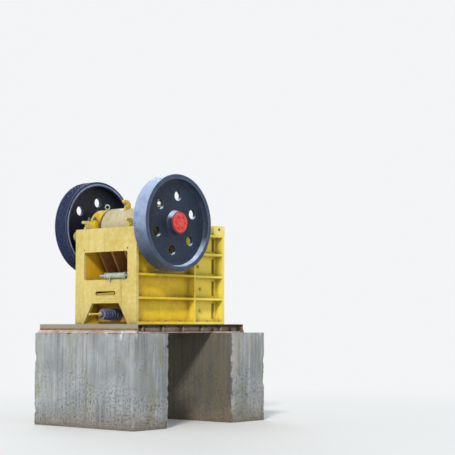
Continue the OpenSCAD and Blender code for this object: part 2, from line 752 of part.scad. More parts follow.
module tension_spring() color(dark) crusher() translate([spring_end, 0, rod_z]) {
    m = 8;
    n = spring_turns * 16;
    pts = [for (k = [0 : n]) each wire_ring(k, n, m)];
    walls = [for (k = [0 : n - 1], j = [0 : m - 1])
        [k * m + j, k * m + (j + 1) % m, (k + 1) * m + (j + 1) % m, (k + 1) * m + j]];
    polyhedron(pts, [[for (j = [m - 1 : -1 : 0]) j], each walls, [for (j = [0 : m - 1]) n * m + j]]);
}

module lifting_trunnions() color(steel) crusher() for (s = [-1, 1]) side(s) {
    rod_y([trunnion_x, trunnion_z], trunnion_r, side_out, rib_d + trunnion_l);
    rod_y([trunnion_x, trunnion_z], trunnion_r + collar, half_w + trunnion_l - 2 * collar, 2 * collar);
}

// hook outline standing on z = 0, horn towards -x
module hook_outline() difference() {
    union() {
        translate([-hook_l * 0.35, 0]) square([hook_l * 0.7, hook_l * 0.55]);
        translate([-hook_l * 0.1, hook_l * 0.5]) circle(hook_l * 0.3);
        translate([-hook_l * 0.5, hook_l * 0.5]) square([hook_l * 0.4, hook_l * 0.3]);
        translate([-hook_l * 0.5, hook_l * 0.65]) circle(hook_l * 0.15);
    }
    translate([-hook_l * 0.3, hook_l * 0.35]) circle(hook_l * 0.15);
    translate([-hook_l, hook_l * 0.2]) square([hook_l * 0.7, hook_l * 0.3]);
}

module lifting_hooks() color(cream) crusher() for (s = [-1, 1]) side(s)
    slab_y(hook_y, hook_t) translate([-rear_x + hook_l * 0.4, rear_h]) hook_outline();

module eccentric_shaft() color(steel) crusher() {
    end = jaw_w / 2 - seal_gap;
    rod_y([0, rest_z], ecc_r, -end, 2 * end);
    rod_y([0, shaft_h], journal_r, -hub_y, 2 * hub_y);
    rod_y([0, shaft_h], seat_r, -cap_y + e, 2 * cap_y - 2 * e);
}

// half section of a wheel, radius along x and width along y from the hub end
module wheel_section(grooves) {
    low = rim_inset;
    high = low + wheel_w;
    web = web_y - hub_y;
    hub = hub_r + draft;
    rim = rim_in - draft;
    c = rim_chamfer;
    difference() {
        polygon([[seat_r, 0], [hub_r, 0], [hub, web - blend], [hub + blend / 3, web - blend / 3],
            [hub + blend, web], [rim - blend, web], [rim - blend / 3, web - blend / 3], [rim, web - blend],
            [rim_in, low], [wheel_r - c, low], [wheel_r, low + c], [wheel_r, high - c], [wheel_r - c, high],
            [rim_in, high], [rim, web + web_t + blend], [rim - blend / 3, web + web_t + blend / 3],
            [rim - blend, web + web_t], [hub + blend, web + web_t],
            [hub + blend / 3, web + web_t + blend / 3], [hub, web + web_t + blend],
            [hub_r, hub_l], [seat_r, hub_l]]);
        if (grooves) for (i = [0 : groove_n - 1])
            translate([wheel_r, low + wheel_w / 2 + (i - (groove_n - 1) / 2) * groove_pitch])
                polygon([[e, -groove_pitch * 0.4], [e, groove_pitch * 0.4],
                    [-groove_d, groove_pitch * 0.22], [-groove_d, -groove_pitch * 0.22]]);
    }
}

module wheel(grooves) difference() {
    turn_y(hub_y, shaft_h) wheel_section(grooves);
    for (i = [0 : hole_n - 1])
        rod_y(polar([0, shaft_h], hole_pitch, 90 - hole_turn - i * 360 / hole_n), hole_r,
            web_y - e, web_t + 2 * e);
}

module flywheel() color(dark) side(-1) crusher() wheel(false);

module belt_pulley() color(dark) crusher() wheel(true);

// cap on the shaft's end with a chamfered edge and a raised middle
module shaft_cap(s) color(red) side(s) crusher() turn_y(cap_y, shaft_h) {
    c = cap_t / 4;
    polygon([[0, 0], [cap_r, 0], [cap_r, cap_t - 2 * c], [cap_r - c, cap_t - c], [cap_r / 2, cap_t - c],
        [cap_r / 2 - c, cap_t], [0, cap_t]]);
}

// side outline of a rib on the back of the swing jaw
module jaw_rib_outline() union() {
    pivot = [toggle_front_x, toggle_front_z];
    jaw_axes() translate([-jaw_back, -face_l]) square([slab_t, face_l]);
    polygon([[0, rest_z], [-head_r + 2 * seat_gap, rest_z], [-head_r + 2 * seat_gap, rest_z - rib_drop],
        [toggle_rear_x - seat_lip, toggle_rear_z + neck_up], polar(pivot, seat_cast, seat_from),
        polar(pivot, seat_cast, seat_to),
        jaw_pt(-jaw_back, slab_t * 3 - face_l), jaw_pt(-jaw_plate_t + e, -slab_t / 2)]);
}

module swing_jaw() color(yellow) crusher() difference() {
    union() {
        rod_y([0, rest_z], head_r, -jaw_w / 2, jaw_w);
        // seal rings beside the bearing housings
        rod_y([0, rest_z], ring_r, -jaw_w / 2 - ring_t, jaw_w + 2 * ring_t);
        // slab behind the jaw plate
        slab_y(-jaw_w / 2, jaw_w) jaw_axes() translate([-jaw_back, -face_l])
            square([slab_t, face_l - 2 * slab_t / 3]);
        for (y = [-jaw_w / 2, -jaw_rib_y - jaw_rib_t / 2, jaw_rib_y - jaw_rib_t / 2, jaw_w / 2 - jaw_rib_t])
            slab_y(y, jaw_rib_t) jaw_rib_outline();
        // lugs that hold the tension rod's pin
        for (s = [-1, 1]) side(s) slab_y(eye_w / 2 + lug_gap, lug_t) {
            translate([rod_pin_x, rod_z]) circle(rod_pin_r + lug_wall);
            polygon([[rod_pin_x, rod_z - rod_pin_r], jaw_pt(-jaw_back + e, e - face_l),
                jaw_pt(-jaw_back + e, 2.5 * slab_t - face_l), [rod_pin_x, rod_z + rod_pin_r + lug_wall]]);
        }
    }
    rod_y([rod_pin_x, rod_z], rod_pin_r, -jaw_w, 2 * jaw_w);
    rod_y([0, rest_z], ecc_r + run_gap, -jaw_w, 2 * jaw_w);
    // seat of the jaw plate and its clamp
    slab_y(-jaw_w, 2 * jaw_w) jaw_axes() translate([-jaw_plate_t, -2 * face_l])
        square([2 * head_r, 2 * face_l + clamp_h / 7 + seat_gap]);
    rod_y([toggle_front_x, toggle_front_z], toggle_seat_r + seat_gap, -jaw_w, 2 * jaw_w);
}

module swing_jaw_plate() color(steel) crusher()
    translate([face_x, 0, face_top - throw_r]) rotate([0, -jaw_a, 0]) translate([-jaw_plate_t, 0, -face_l])
        linear_extrude(face_l - clamp_h * 6 / 7) mirror([1, 0, 0]) teeth_outline();

// wedge bar that holds the top of the swing jaw plate
module jaw_plate_clamp() color(yellow) crusher() slab_y(-jaw_w / 2, jaw_w) jaw_axes()
    translate([-jaw_plate_t, -clamp_h * 6 / 7]) polygon([[0, 0], [jaw_plate_t - clamp_h / 7, 0],
        [jaw_plate_t - clamp_h / 7 - clamp_in, clamp_h], [0, clamp_h]]);

module jaw_toggle_seat() color(steel) crusher() difference() {
    r = 2 * toggle_seat_r;
    rod_y([toggle_front_x, toggle_front_z], toggle_seat_r, -toggle_w / 2, toggle_w);
    rod_y([toggle_front_x, toggle_front_z - throw_r], toggle_seat_in, -side_in, 2 * side_in);
    span([toggle_front_x - r, -side_in, toggle_front_z - r], [toggle_front_x, side_in, toggle_front_z + r]);
}

module jaw_hook() color(yellow) crusher() difference() {
    foot = rest_z + sqrt(head_r * head_r - jaw_hook_x * jaw_hook_x);
    slab_y(-hook_t / 2, hook_t) translate([-jaw_hook_x, foot]) union() {
        hook_outline();
        translate([-hook_l * 0.35, -hook_l * 0.35]) square([hook_l * 0.7, hook_l * 0.35 + e]);
    }
    rod_y([0, rest_z], head_r + seat_gap, -hook_t, 2 * hook_t);
}

module rod_pin() color(steel) crusher() {
    half = eye_w / 2 + lug_gap + lug_t + pin_end;
    rod_y([rod_pin_x, rod_z], rod_pin_r, -half, 2 * half);
}

rear_pier();
front_pier();
base_beam(-1);  // base_beam_near
base_beam(1);  // base_beam_far
rear_cross_beam();
front_cross_beam();
side_plate(-1);  // side_plate_near
side_plate(1);  // side_plate_far
rear_wall();
front_wall();
front_top_beam();
toggle_beam();
bearing_seat(-1);  // bearing_seat_near
bearing_seat(1);  // bearing_seat_far
bearing_cap(-1);  // bearing_cap_near
bearing_cap(1);  // bearing_cap_far
bearing_cover(-1);  // bearing_cover_near
bearing_cover(1);  // bearing_cover_far
cheek_plate(-1);  // cheek_plate_near
cheek_plate(1);  // cheek_plate_far
fixed_jaw_plate();
adjusting_wedges();
toggle_block();
toggle_plate();
adjusting_screw();
screw_brackets();
spring_bracket();
tension_rod();
tension_spring();
lifting_trunnions();
lifting_hooks();
lifting_eyes();
eccentric_shaft();
flywheel();
belt_pulley();
shaft_cap(-1);  // flywheel_cap
shaft_cap(1);  // pulley_cap
swing_jaw();
swing_jaw_plate();
jaw_plate_clamp();
jaw_toggle_seat();
jaw_hook();
rod_pin();
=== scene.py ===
# Jaw crusher on two concrete piers: camera, light, finishes, fasteners, threads and welds
import json
import math

import bmesh
import bpy
from mathutils import Color, Matrix, Vector, noise


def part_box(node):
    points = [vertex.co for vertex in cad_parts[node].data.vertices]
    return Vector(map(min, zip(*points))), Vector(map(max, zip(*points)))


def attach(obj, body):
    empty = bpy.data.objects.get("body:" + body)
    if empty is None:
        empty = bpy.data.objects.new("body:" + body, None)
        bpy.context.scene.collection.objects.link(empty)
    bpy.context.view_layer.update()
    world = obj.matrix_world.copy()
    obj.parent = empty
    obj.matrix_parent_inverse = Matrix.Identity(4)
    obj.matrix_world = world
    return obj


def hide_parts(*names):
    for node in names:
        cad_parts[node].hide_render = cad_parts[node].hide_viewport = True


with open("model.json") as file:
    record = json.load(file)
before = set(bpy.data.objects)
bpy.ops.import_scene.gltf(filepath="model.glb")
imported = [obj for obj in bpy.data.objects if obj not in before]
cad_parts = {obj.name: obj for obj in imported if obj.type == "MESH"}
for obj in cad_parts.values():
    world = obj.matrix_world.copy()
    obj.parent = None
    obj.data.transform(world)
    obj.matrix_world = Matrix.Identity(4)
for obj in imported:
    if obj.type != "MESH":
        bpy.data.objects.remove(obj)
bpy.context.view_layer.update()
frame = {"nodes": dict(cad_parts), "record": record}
scene = bpy.context.scene
scene.view_settings.view_transform = "Standard"
print("frame loaded:", len(frame["nodes"]), "nodes")


def span(node):  # low and high corner of a node
    low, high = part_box(node)
    return Vector(low), Vector(high)


# places read from the frame
wheelLow, wheelHigh = span("flywheel")
plateLow, plateHigh = span("side_plate_near")
rearPier, frontPier = span("rear_pier"), span("front_pier")
rodLow, springLow = span("tension_rod")[0], span("tension_spring")[0]
shaftX = (wheelLow.x + wheelHigh.x) / 2
shaftZ = (wheelLow.z + wheelHigh.z) / 2
wheelR = (wheelHigh.x - wheelLow.x) / 2
baseZ = plateLow.z
pierTop = rearPier[1].z

# camera: place, direction and lens worked out from the photograph, for a square picture
cameraSet = {
    "place": (shaftX - 14.82, -14.56, baseZ - 0.02),
    "pan": 40.05,  # degrees from +X towards +Y
    "tilt": 4.53,  # degrees above level
    "focal": 1273.6,  # in pixels
    "picture": 455,  # pixels along each side
    "axis": (3.8, -3.0),  # where the lens axis meets the picture, from its middle
    "sensor": 36,  # in mm
    "reach": 200,
}


def makeCamera(s):
    data = bpy.data.cameras.new("camera")
    data.sensor_width = s["sensor"]
    data.lens = s["sensor"] * s["focal"] / s["picture"]
    data.shift_x = -s["axis"][0] / s["picture"]
    data.shift_y = s["axis"][1] / s["picture"]
    data.clip_end = s["reach"]
    camera = bpy.data.objects.new("camera", data)
    scene.collection.objects.link(camera)
    pan, tilt = math.radians(s["pan"]), math.radians(s["tilt"])
    level = math.cos(tilt)
    forward = Vector((math.cos(pan) * level, math.sin(pan) * level, math.sin(tilt)))
    camera.location = s["place"]
    camera.rotation_euler = forward.to_track_quat("-Z", "Y").to_euler()
    scene.camera = camera


makeCamera(cameraSet)
print("camera placed")


# colours are written as they look, and turned to scene values here
def tone(red, green, blue):
    return (*Color((red, green, blue)).from_srgb_to_scene_linear(), 1.0)


# node helpers: each takes and gives sockets, or plain values where nothing is linked
def plug(tree, source, socket):
    if isinstance(source, bpy.types.NodeSocket):
        tree.links.new(source, socket)
    else:
        socket.default_value = source


def startFinish(name):
    material = bpy.data.materials.new(name)
    material.use_nodes = True
    tree = material.node_tree
    coord = tree.nodes.new("ShaderNodeTexCoord").outputs
    return material, tree, tree.nodes["Principled BSDF"], coord["Object"], coord["Normal"]


def linkFinish(tree, shader, shade, rough, normal, shine=0.5):
    plug(tree, shade, shader.inputs["Base Color"])
    plug(tree, rough, shader.inputs["Roughness"])
    plug(tree, normal, shader.inputs["Normal"])
    shader.inputs["Specular IOR Level"].default_value = shine


def stretch(tree, vector, scale=(1, 1, 1), move=(0, 0, 0)):
    node = tree.nodes.new("ShaderNodeMapping")
    node.inputs["Scale"].default_value = scale
    node.inputs["Location"].default_value = move
    tree.links.new(vector, node.inputs["Vector"])
    return node.outputs["Vector"]


def cloud(tree, vector, scale, detail, rough):
    node = tree.nodes.new("ShaderNodeTexNoise")
    tree.links.new(vector, node.inputs["Vector"])
    node.inputs["Scale"].default_value = scale
    node.inputs["Detail"].default_value = detail
    node.inputs["Roughness"].default_value = rough
    return node.outputs["Fac"]


def cells(tree, vector, scale, output="Distance"):
    node = tree.nodes.new("ShaderNodeTexVoronoi")
    tree.links.new(vector, node.inputs["Vector"])
    node.inputs["Scale"].default_value = scale
    return node.outputs[output]


def between(tree, value, low, high, toLow=0.0, toHigh=1.0):
    node = tree.nodes.new("ShaderNodeMapRange")
    node.interpolation_type = "SMOOTHSTEP"
    plug(tree, value, node.inputs["Value"])
    node.inputs["From Min"].default_value = low
    node.inputs["From Max"].default_value = high
    node.inputs["To Min"].default_value = toLow
    node.inputs["To Max"].default_value = toHigh
    return node.outputs["Result"]


def patches(tree, vector, grain, toLow=0.0, toHigh=1.0):
    scale, low, high, detail, rough = grain
    return between(tree, cloud(tree, vector, scale, detail, rough), low, high, toLow, toHigh)


def above(tree, value, level, soft=0.004, most=1.0):
    return between(tree, value, level - soft, level + soft, 0.0, most)


def below(tree, value, level, soft=0.004):
    return between(tree, value, level + soft, level - soft)


def band(tree, value, low, high, soft=0.004):
    return times(tree, above(tree, value, low, soft), below(tree, value, high, soft))


def calc(tree, operation, a, b=0.0):
    node = tree.nodes.new("ShaderNodeMath")
    node.operation = operation
    plug(tree, a, node.inputs[0])
    plug(tree, b, node.inputs[1])
    return node.outputs["Value"]


def times(tree, a, b):
    return calc(tree, "MULTIPLY", a, b)


def magnitude(tree, value):
    return calc(tree, "ABSOLUTE", value)


def blendColor(tree, amount, a, b):
    node = tree.nodes.new("ShaderNodeMix")
    node.data_type = "RGBA"
    plug(tree, amount, node.inputs["Factor"])
    plug(tree, a, node.inputs["A"])
    plug(tree, b, node.inputs["B"])
    return [o for o in node.outputs if o.type == "RGBA"][0]


def relief(tree, height, depth, under=None):
    node = tree.nodes.new("ShaderNodeBump")
    node.inputs["Distance"].default_value = depth
    plug(tree, height, node.inputs["Height"])
    if under:
        tree.links.new(under, node.inputs["Normal"])
    return node.outputs["Normal"]


def bumps(tree, vector, look, under=None):
    scale, detail, rough, depth = look
    return relief(tree, cloud(tree, vector, scale, detail, rough), depth, under)


def parts(tree, vector):
    node = tree.nodes.new("ShaderNodeSeparateXYZ")
    tree.links.new(vector, node.inputs["Vector"])
    return node.outputs["X"], node.outputs["Y"], node.outputs["Z"]


samples = 6  # taken by each of the next two


def corners(tree, reach, low=0.45, high=0.95):  # 1 in corners and creases, 0 in the open
    node = tree.nodes.new("ShaderNodeAmbientOcclusion")
    node.samples = samples
    node.inputs["Distance"].default_value = reach
    return between(tree, node.outputs["AO"], low, high, 1.0, 0.0)


def edges(tree, radius, flat=0.995, sharp=0.85):  # 1 along sharp edges
    node = tree.nodes.new("ShaderNodeBevel")
    node.samples = samples
    node.inputs["Radius"].default_value = radius
    face = tree.nodes.new("ShaderNodeNewGeometry")
    dot = tree.nodes.new("ShaderNodeVectorMath")
    dot.operation = "DOT_PRODUCT"
    tree.links.new(node.outputs["Normal"], dot.inputs[0])
    tree.links.new(face.outputs["Normal"], dot.inputs[1])
    return between(tree, dot.outputs["Value"], flat, sharp)


def length(tree, vector):
    node = tree.nodes.new("ShaderNodeVectorMath")
    node.operation = "LENGTH"
    tree.links.new(vector, node.inputs[0])
    return node.outputs["Value"]


# in the grain tables a pattern is its scale, where it starts, where it is full, its detail and roughness,
# and a relief is its scale, detail, roughness and depth

# brushed and sprayed paint on welded steel, with dust, dirt and painted shade in the corners, runs and chips
paintGrain = {
    "tones": (1.7, 0.35, 0.68, 5, 0.55), "spray": (14, 0.42, 0.72, 6, 0.65),
    "bareEdge": (9, 0.2, 0.8, 4, 0.55), "bareWorn": (24, 0.35, 0.7, 5, 0.7),
    "runs": (1.0, 0.50, 0.78, 5, 0.6), "creases": (9, 0.22, 0.62, 6, 0.7),
    "specks": (46, 0.64, 0.72, 3, 0.6), "speckGroups": (3.1, 0.45, 0.62, 4, 0.55),
    "edgeWear": (30, 0.50, 0.60, 5, 0.7), "rust": (120, 0.3, 0.7, 3, 0.55),
    "dust": (6, 0.28, 0.66, 6, 0.7), "gloss": (22, 0.3, 0.7, 4, 0.55),
    "skin": (150, 3, 0.55, 0.0007), "dents": (5, 3, 0.55, 0.006), "chipDepth": 0.0012,
}
dirt = {
    # the grime tone serves the runs of dirt and the painted shade in corners
    "grimeAndShade": tone(0.30, 0.22, 0.12), "dustTone": tone(0.74, 0.69, 0.56),
    "rust": tone(0.30, 0.16, 0.09), "rustLight": tone(0.48, 0.27, 0.13),
}
paintWear = {
    "frontPaleMost": 0.85, "endSoft": 0.006, "endMost": 0.9, "bareWave": 0.05, "bareSoft": 0.03,
    "runStretch": (13, 13, 0.55), "least": 0.35,  # least share of dirt and dust between the patches
    "edge": 0.006, "upward": (0.55, 0.98),  # upward part of the normal, where dust starts and is full
    "smooth": -0.06, "dull": 0.10, "dirtRough": 0.92, "shine": 0.3,
}


def paintedSteel(name, s):
    g, w = paintGrain, paintWear
    material, tree, shader, place, normal = startFinish(name)
    x, y, z = parts(tree, place)
    side = magnitude(tree, y)
    shade = blendColor(tree, patches(tree, place, g["tones"]), s["paint"], s["second"])
    shade = blendColor(tree, times(tree, patches(tree, place, g["spray"]), s["mottle"]), shade, s["faded"])
    # painted shade: the faces inside the frame get a darker, more orange tone
    if "inner" in s:  # the side that looks into the frame
        shade = blendColor(tree, below(tree, side, s["innerEnd"]), shade, s["inner"])
    if "pale" in s:  # paler towards the front end
        palerFront = times(tree, between(tree, x, *s["pale"]), w["frontPaleMost"])
        shade = blendColor(tree, palerFront, shade, s["faded"])
    if "ends" in s:  # painted shade on both ends of the casting, in the gaps beside the bearings
        start, tint = s["ends"]
        shade = blendColor(tree, above(tree, side, start, w["endSoft"], w["endMost"]), shade, tint)
    if "below" in s:  # under this height the casting is rust-brown, partly bare rust and partly painted shade inside the frame
        height, tint = s["below"]
        level = calc(tree, "ADD", z, patches(tree, place, g["bareEdge"], -w["bareWave"], w["bareWave"]))
        tint = blendColor(tree, patches(tree, place, g["bareWorn"]), tint, s["belowWorn"])
        shade = blendColor(tree, below(tree, level, height, w["bareSoft"]), shade, tint)
    runs = patches(tree, stretch(tree, place, w["runStretch"]), g["runs"])
    shade = blendColor(tree, times(tree, runs, s["runs"]), shade, dirt["grimeAndShade"])
    # painted shade: darker in corners and creases, mixed with grime
    crease = times(tree, corners(tree, s["reach"]), patches(tree, place, g["creases"], w["least"]))
    shade = blendColor(tree, times(tree, crease, s["creases"]), shade, dirt["grimeAndShade"])
    specks = times(tree, patches(tree, place, g["specks"]), patches(tree, place, g["speckGroups"]))
    worn = times(tree, edges(tree, w["edge"]), patches(tree, place, g["edgeWear"]))
    chips = calc(tree, "MINIMUM", calc(tree, "ADD", specks, worn), 1.0)
    chips = times(tree, chips, s["chips"])
    rust = blendColor(tree, patches(tree, place, g["rust"]), dirt["rust"], dirt["rustLight"])
    shade = blendColor(tree, chips, shade, rust)
    upward = between(tree, parts(tree, normal)[2], *w["upward"])
    settled = times(tree, upward, patches(tree, place, g["dust"], w["least"]))
    settled = times(tree, settled, s["dust"])
    shade = blendColor(tree, settled, shade, dirt["dustTone"])
    rough = patches(tree, place, g["gloss"], s["rough"] + w["smooth"], s["rough"] + w["dull"])
    dirty = times(tree, calc(tree, "MAXIMUM", settled, chips), w["dirtRough"])
    dents = bumps(tree, place, g["dents"], bumps(tree, place, g["skin"]))
    whole = relief(tree, calc(tree, "SUBTRACT", 1.0, chips), g["chipDepth"], dents)
    linkFinish(tree, shader, shade, calc(tree, "MAXIMUM", rough, dirty), whole, w["shine"])
    return material


creamPaint = paintedSteel("creamPaint", {
    "paint": tone(0.83, 0.75, 0.44), "second": tone(0.78, 0.69, 0.34), "faded": tone(0.87, 0.82, 0.60),
    "mottle": 0.60, "runs": 0.34, "creases": 0.65, "reach": 0.09, "chips": 0.8, "dust": 0.55, "rough": 0.42})
goldenPaint = paintedSteel("goldenPaint", {
    "paint": tone(0.91, 0.78, 0.11), "second": tone(0.87, 0.71, 0.05), "faded": tone(0.97, 0.89, 0.38),
    "mottle": 0.40, "runs": 0.20, "creases": 0.55, "reach": 0.10, "chips": 0.7, "dust": 0.45, "rough": 0.42,
    # the inner tone is painted shade for the faces inside the frame
    "inner": tone(0.90, 0.71, 0.16), "innerEnd": -plateHigh.y + 0.003, "pale": (0.05, 0.45)})
framePaint = paintedSteel("framePaint", {
    "paint": tone(0.92, 0.79, 0.22), "second": tone(0.88, 0.72, 0.13), "faded": tone(0.95, 0.86, 0.42),
    "mottle": 0.45, "runs": 0.22, "creases": 0.60, "reach": 0.10, "chips": 0.8, "dust": 0.55, "rough": 0.42})
jawPaint = paintedSteel("jawPaint", {
    "paint": tone(0.77, 0.72, 0.59), "second": tone(0.73, 0.67, 0.50), "faded": tone(0.84, 0.81, 0.71),
    "mottle": 0.50, "runs": 0.25, "creases": 0.65, "reach": 0.08, "chips": 0.8, "dust": 0.45, "rough": 0.44,
    # below this height: rust-brown, partly bare rust and partly painted shade inside the frame
    "below": (baseZ + 1.33, tone(0.68, 0.50, 0.35)), "belowWorn": tone(0.80, 0.60, 0.32),
    # the ends tone is painted shade in the gaps beside the bearings
    "ends": (0.408, tone(0.30, 0.25, 0.11))})
palePaint = paintedSteel("palePaint", {
    "paint": tone(0.96, 0.89, 0.50), "second": tone(0.92, 0.83, 0.38), "faded": tone(0.98, 0.95, 0.68),
    "mottle": 0.50, "runs": 0.18, "creases": 0.50, "reach": 0.08, "chips": 0.7, "dust": 0.35, "rough": 0.42})
redPaint = paintedSteel("redPaint", {
    "paint": tone(0.88, 0.30, 0.28), "second": tone(0.82, 0.22, 0.21), "faded": tone(0.92, 0.48, 0.42),
    "mottle": 0.45, "runs": 0.12, "creases": 0.45, "reach": 0.03, "chips": 0.5, "dust": 0.3, "rough": 0.38})
springPaint = paintedSteel("springPaint", {
    "paint": tone(0.32, 0.38, 0.49), "second": tone(0.26, 0.31, 0.41), "faded": tone(0.46, 0.52, 0.62),
    "mottle": 0.5, "runs": 0.08, "creases": 0.30, "reach": 0.04, "chips": 0.5, "dust": 0.2, "rough": 0.45})
print("paints made")

# cast iron wheels: blue-black paint over sand-cast skin, pale turned rims with painted sky sheen and
# highlight, red round the cap, dusty recess
wheelGrain = {
    "tones": (2.3, 0.34, 0.68, 5, 0.55), "spray": (17, 0.50, 0.75, 6, 0.7),
    "patchy": (6, 0.30, 0.65, 5, 0.65), "edgeWear": (24, 0.38, 0.55, 5, 0.7),
    "dust": (7, 0.30, 0.60, 6, 0.7), "gloss": (26, 0.3, 0.7, 5, 0.55),
    "rust": (4.2, 0.56, 0.70, 6, 0.7), "rustFine": (38, 0.40, 0.60, 4, 0.6),
    "sand": (190, 4, 0.7, 0.0014), "lumps": (14, 3, 0.55, 0.006), "markDepth": 0.0006,
}
wheelWear = {
    "flat": (0.4, 0.8),  # sideways part of the normal on round and on flat faces
    "wallSheen": (0.25, 0.65), "treadSheen": (-0.75, 0.35),  # upward part of the normal, where the painted sky sheen starts and is full
    "sprayMost": 0.6, "patchyLeast": 0.55, "treadSoft": 0.003, "endSoft": 0.0015, "hubSoft": 0.002,
    "marks": 60, "marksWave": 0.6, "edge": 0.008, "edgeMost": 0.8, "rustMost": 0.55, "dustReach": 0.08,
    "dustMost": 0.35, "gloss": (0.36, 0.58), "dirtRough": 0.9, "shine": 0.35,
}
hubEnd = -wheelLow.y
wheelSet = {
    "axis": (shaftX, shaftZ), "treadFrom": wheelR - 0.037, "rimInside": wheelR - 0.075,
    "hub": 0.178, "hubFrom": hubEnd - 0.0045, "hubTone": tone(0.62, 0.14, 0.15),
    "rimFaces": ((-wheelHigh.y + 0.016, -wheelHigh.y + 0.020), (hubEnd - 0.011, hubEnd - 0.015)),
    "paint": tone(0.10, 0.16, 0.24), "second": tone(0.07, 0.12, 0.19), "faded": tone(0.18, 0.25, 0.33),
    # tread and treadLow are painted sky sheen on the treads, facing up and facing down
    "lip": tone(0.24, 0.30, 0.39), "tread": tone(0.60, 0.67, 0.80), "treadLow": tone(0.24, 0.29, 0.38),
    # the ring tone is a painted highlight along the rim's inner edge
    "ring": (wheelR - 0.072, wheelR - 0.064), "ringHighlight": tone(0.34, 0.40, 0.50),
    # wall and wallLow are painted sky sheen on the round faces, facing up and facing down
    "wall": tone(0.78, 0.86, 0.98), "wallLow": tone(0.17, 0.21, 0.29),
    "worn": tone(0.46, 0.51, 0.60), "rust": tone(0.30, 0.20, 0.15), "dustTone": tone(0.40, 0.41, 0.42),
}
pulleySet = {
    **wheelSet, "hubTone": tone(0.20, 0.22, 0.28),
    "paint": tone(0.07, 0.10, 0.18), "second": tone(0.04, 0.06, 0.13), "faded": tone(0.12, 0.16, 0.26),
    # pulley tread, treadLow, wall and wallLow: painted sky sheen, as on the flywheel
    "lip": tone(0.14, 0.18, 0.29), "tread": tone(0.16, 0.20, 0.37), "treadLow": tone(0.13, 0.17, 0.32),
    # the pulley's ring tone is a painted highlight along the rim
    "ring": (wheelR - 0.058, wheelR - 0.034), "ringHighlight": tone(0.56, 0.63, 0.77),
    "wall": tone(0.24, 0.29, 0.40), "wallLow": tone(0.12, 0.15, 0.22),
    "rust": tone(0.11, 0.11, 0.15), "dustTone": tone(0.13, 0.15, 0.22),
}


def castWheel(name, s):
    g, w = wheelGrain, wheelWear
    material, tree, shader, place, normal = startFinish(name)
    across = magnitude(tree, parts(tree, place)[1])
    sideways = magnitude(tree, parts(tree, normal)[1])
    upward = parts(tree, normal)[2]
    axisX, axisZ = s["axis"]
    # distance from the shaft's axis
    away = length(tree, stretch(tree, place, (1, 0, 1), (-axisX, 0, -axisZ)))
    shade = blendColor(tree, patches(tree, place, g["tones"]), s["paint"], s["second"])
    shade = blendColor(tree, patches(tree, place, g["spray"], 0.0, w["sprayMost"]), shade, s["faded"])
    roundFaces = calc(tree, "SUBTRACT", 1.0, between(tree, sideways, *w["flat"]))
    # painted sky sheen: round faces (hole walls, hub, rim's inner wall) and treads are pale facing up, dark
    # facing down
    wall = blendColor(tree, between(tree, upward, *w["wallSheen"]), s["wallLow"], s["wall"])
    tread = blendColor(tree, between(tree, upward, *w["treadSheen"]), s["treadLow"], s["tread"])
    onTread = above(tree, away, s["treadFrom"], w["treadSoft"])
    for low, high in s["rimFaces"]:
        onTread = times(tree, onTread, between(tree, across, low, high))
    onHub = above(tree, across, s["hubFrom"], w["endSoft"])
    onHub = times(tree, onHub, below(tree, away, s["hub"], w["hubSoft"]))
    patchy = patches(tree, place, g["patchy"], w["patchyLeast"])
    # the ring coat is a painted highlight
    coats = [(above(tree, away, s["rimInside"]), s["lip"]), (band(tree, away, *s["ring"]), s["ringHighlight"]),
             (roundFaces, wall), (onTread, tread), (onHub, s["hubTone"])]
    for where, tint in coats:
        shade = blendColor(tree, times(tree, where, patchy), shade, tint)
    worn = times(tree, edges(tree, w["edge"]), patches(tree, place, g["edgeWear"]))
    shade = blendColor(tree, times(tree, worn, w["edgeMost"]), shade, s["worn"])
    blotch = times(tree, patches(tree, place, g["rust"]), patches(tree, place, g["rustFine"]))
    shade = blendColor(tree, times(tree, blotch, w["rustMost"]), shade, s["rust"])
    crease = times(tree, corners(tree, w["dustReach"]), patches(tree, place, g["dust"]))
    shade = blendColor(tree, times(tree, crease, w["dustMost"]), shade, s["dustTone"])
    dirty = times(tree, calc(tree, "MAXIMUM", blotch, crease), w["dirtRough"])
    rough = calc(tree, "MAXIMUM", patches(tree, place, g["gloss"], *w["gloss"]), dirty)
    # fine marks of the turning tool run round the rim's faces
    marks = tree.nodes.new("ShaderNodeTexWave")
    marks.wave_type = "RINGS"
    marks.rings_direction = "Y"
    marks.inputs["Scale"].default_value = w["marks"]
    marks.inputs["Distortion"].default_value = w["marksWave"]
    tree.links.new(stretch(tree, place, move=(-axisX, 0, -axisZ)), marks.inputs["Vector"])
    lumps = bumps(tree, place, g["lumps"], bumps(tree, place, g["sand"]))
    turned = relief(tree, marks.outputs["Fac"], g["markDepth"], lumps)
    linkFinish(tree, shader, shade, rough, turned, w["shine"])
    return material


castIron = castWheel("castIron", wheelSet)
pulleyIron = castWheel("pulleyIron", pulleySet)

# bare and primed steel, from galvanised to rusty, some with stripes or a painted end
steelGrain = {
    # scale of the tones, start of the crust and depth of the pits come from each steel
    "tones": (0.35, 0.65, 5, 0.55), "crust": (11, 7, 0.72), "pits": (35, 6, 0.7),
    "bandEdge": (8, 0.2, 0.8, 4, 0.55), "rust": (70, 0.35, 0.65, 4, 0.7), "gloss": (40, 0.3, 0.7, 4, 0.55),
    "skin": (210, 3, 0.55, 0.0006),
}
# the grime tone is dirt and painted shade in corners
rusts = {"rust": tone(0.27, 0.15, 0.09), "rustLight": tone(0.47, 0.27, 0.14), "grimeAndShade": tone(0.16, 0.12, 0.09)}
steelWear = {
    "spangle": 90, "spangleMost": 0.35, "bandWave": 0.01, "bandMost": 0.9, "behindSoft": 0.002,
    "rustWidth": 0.16, "reach": 0.05, "creases": 0.7, "smooth": -0.08, "dull": 0.10, "rustRough": 0.9,
}


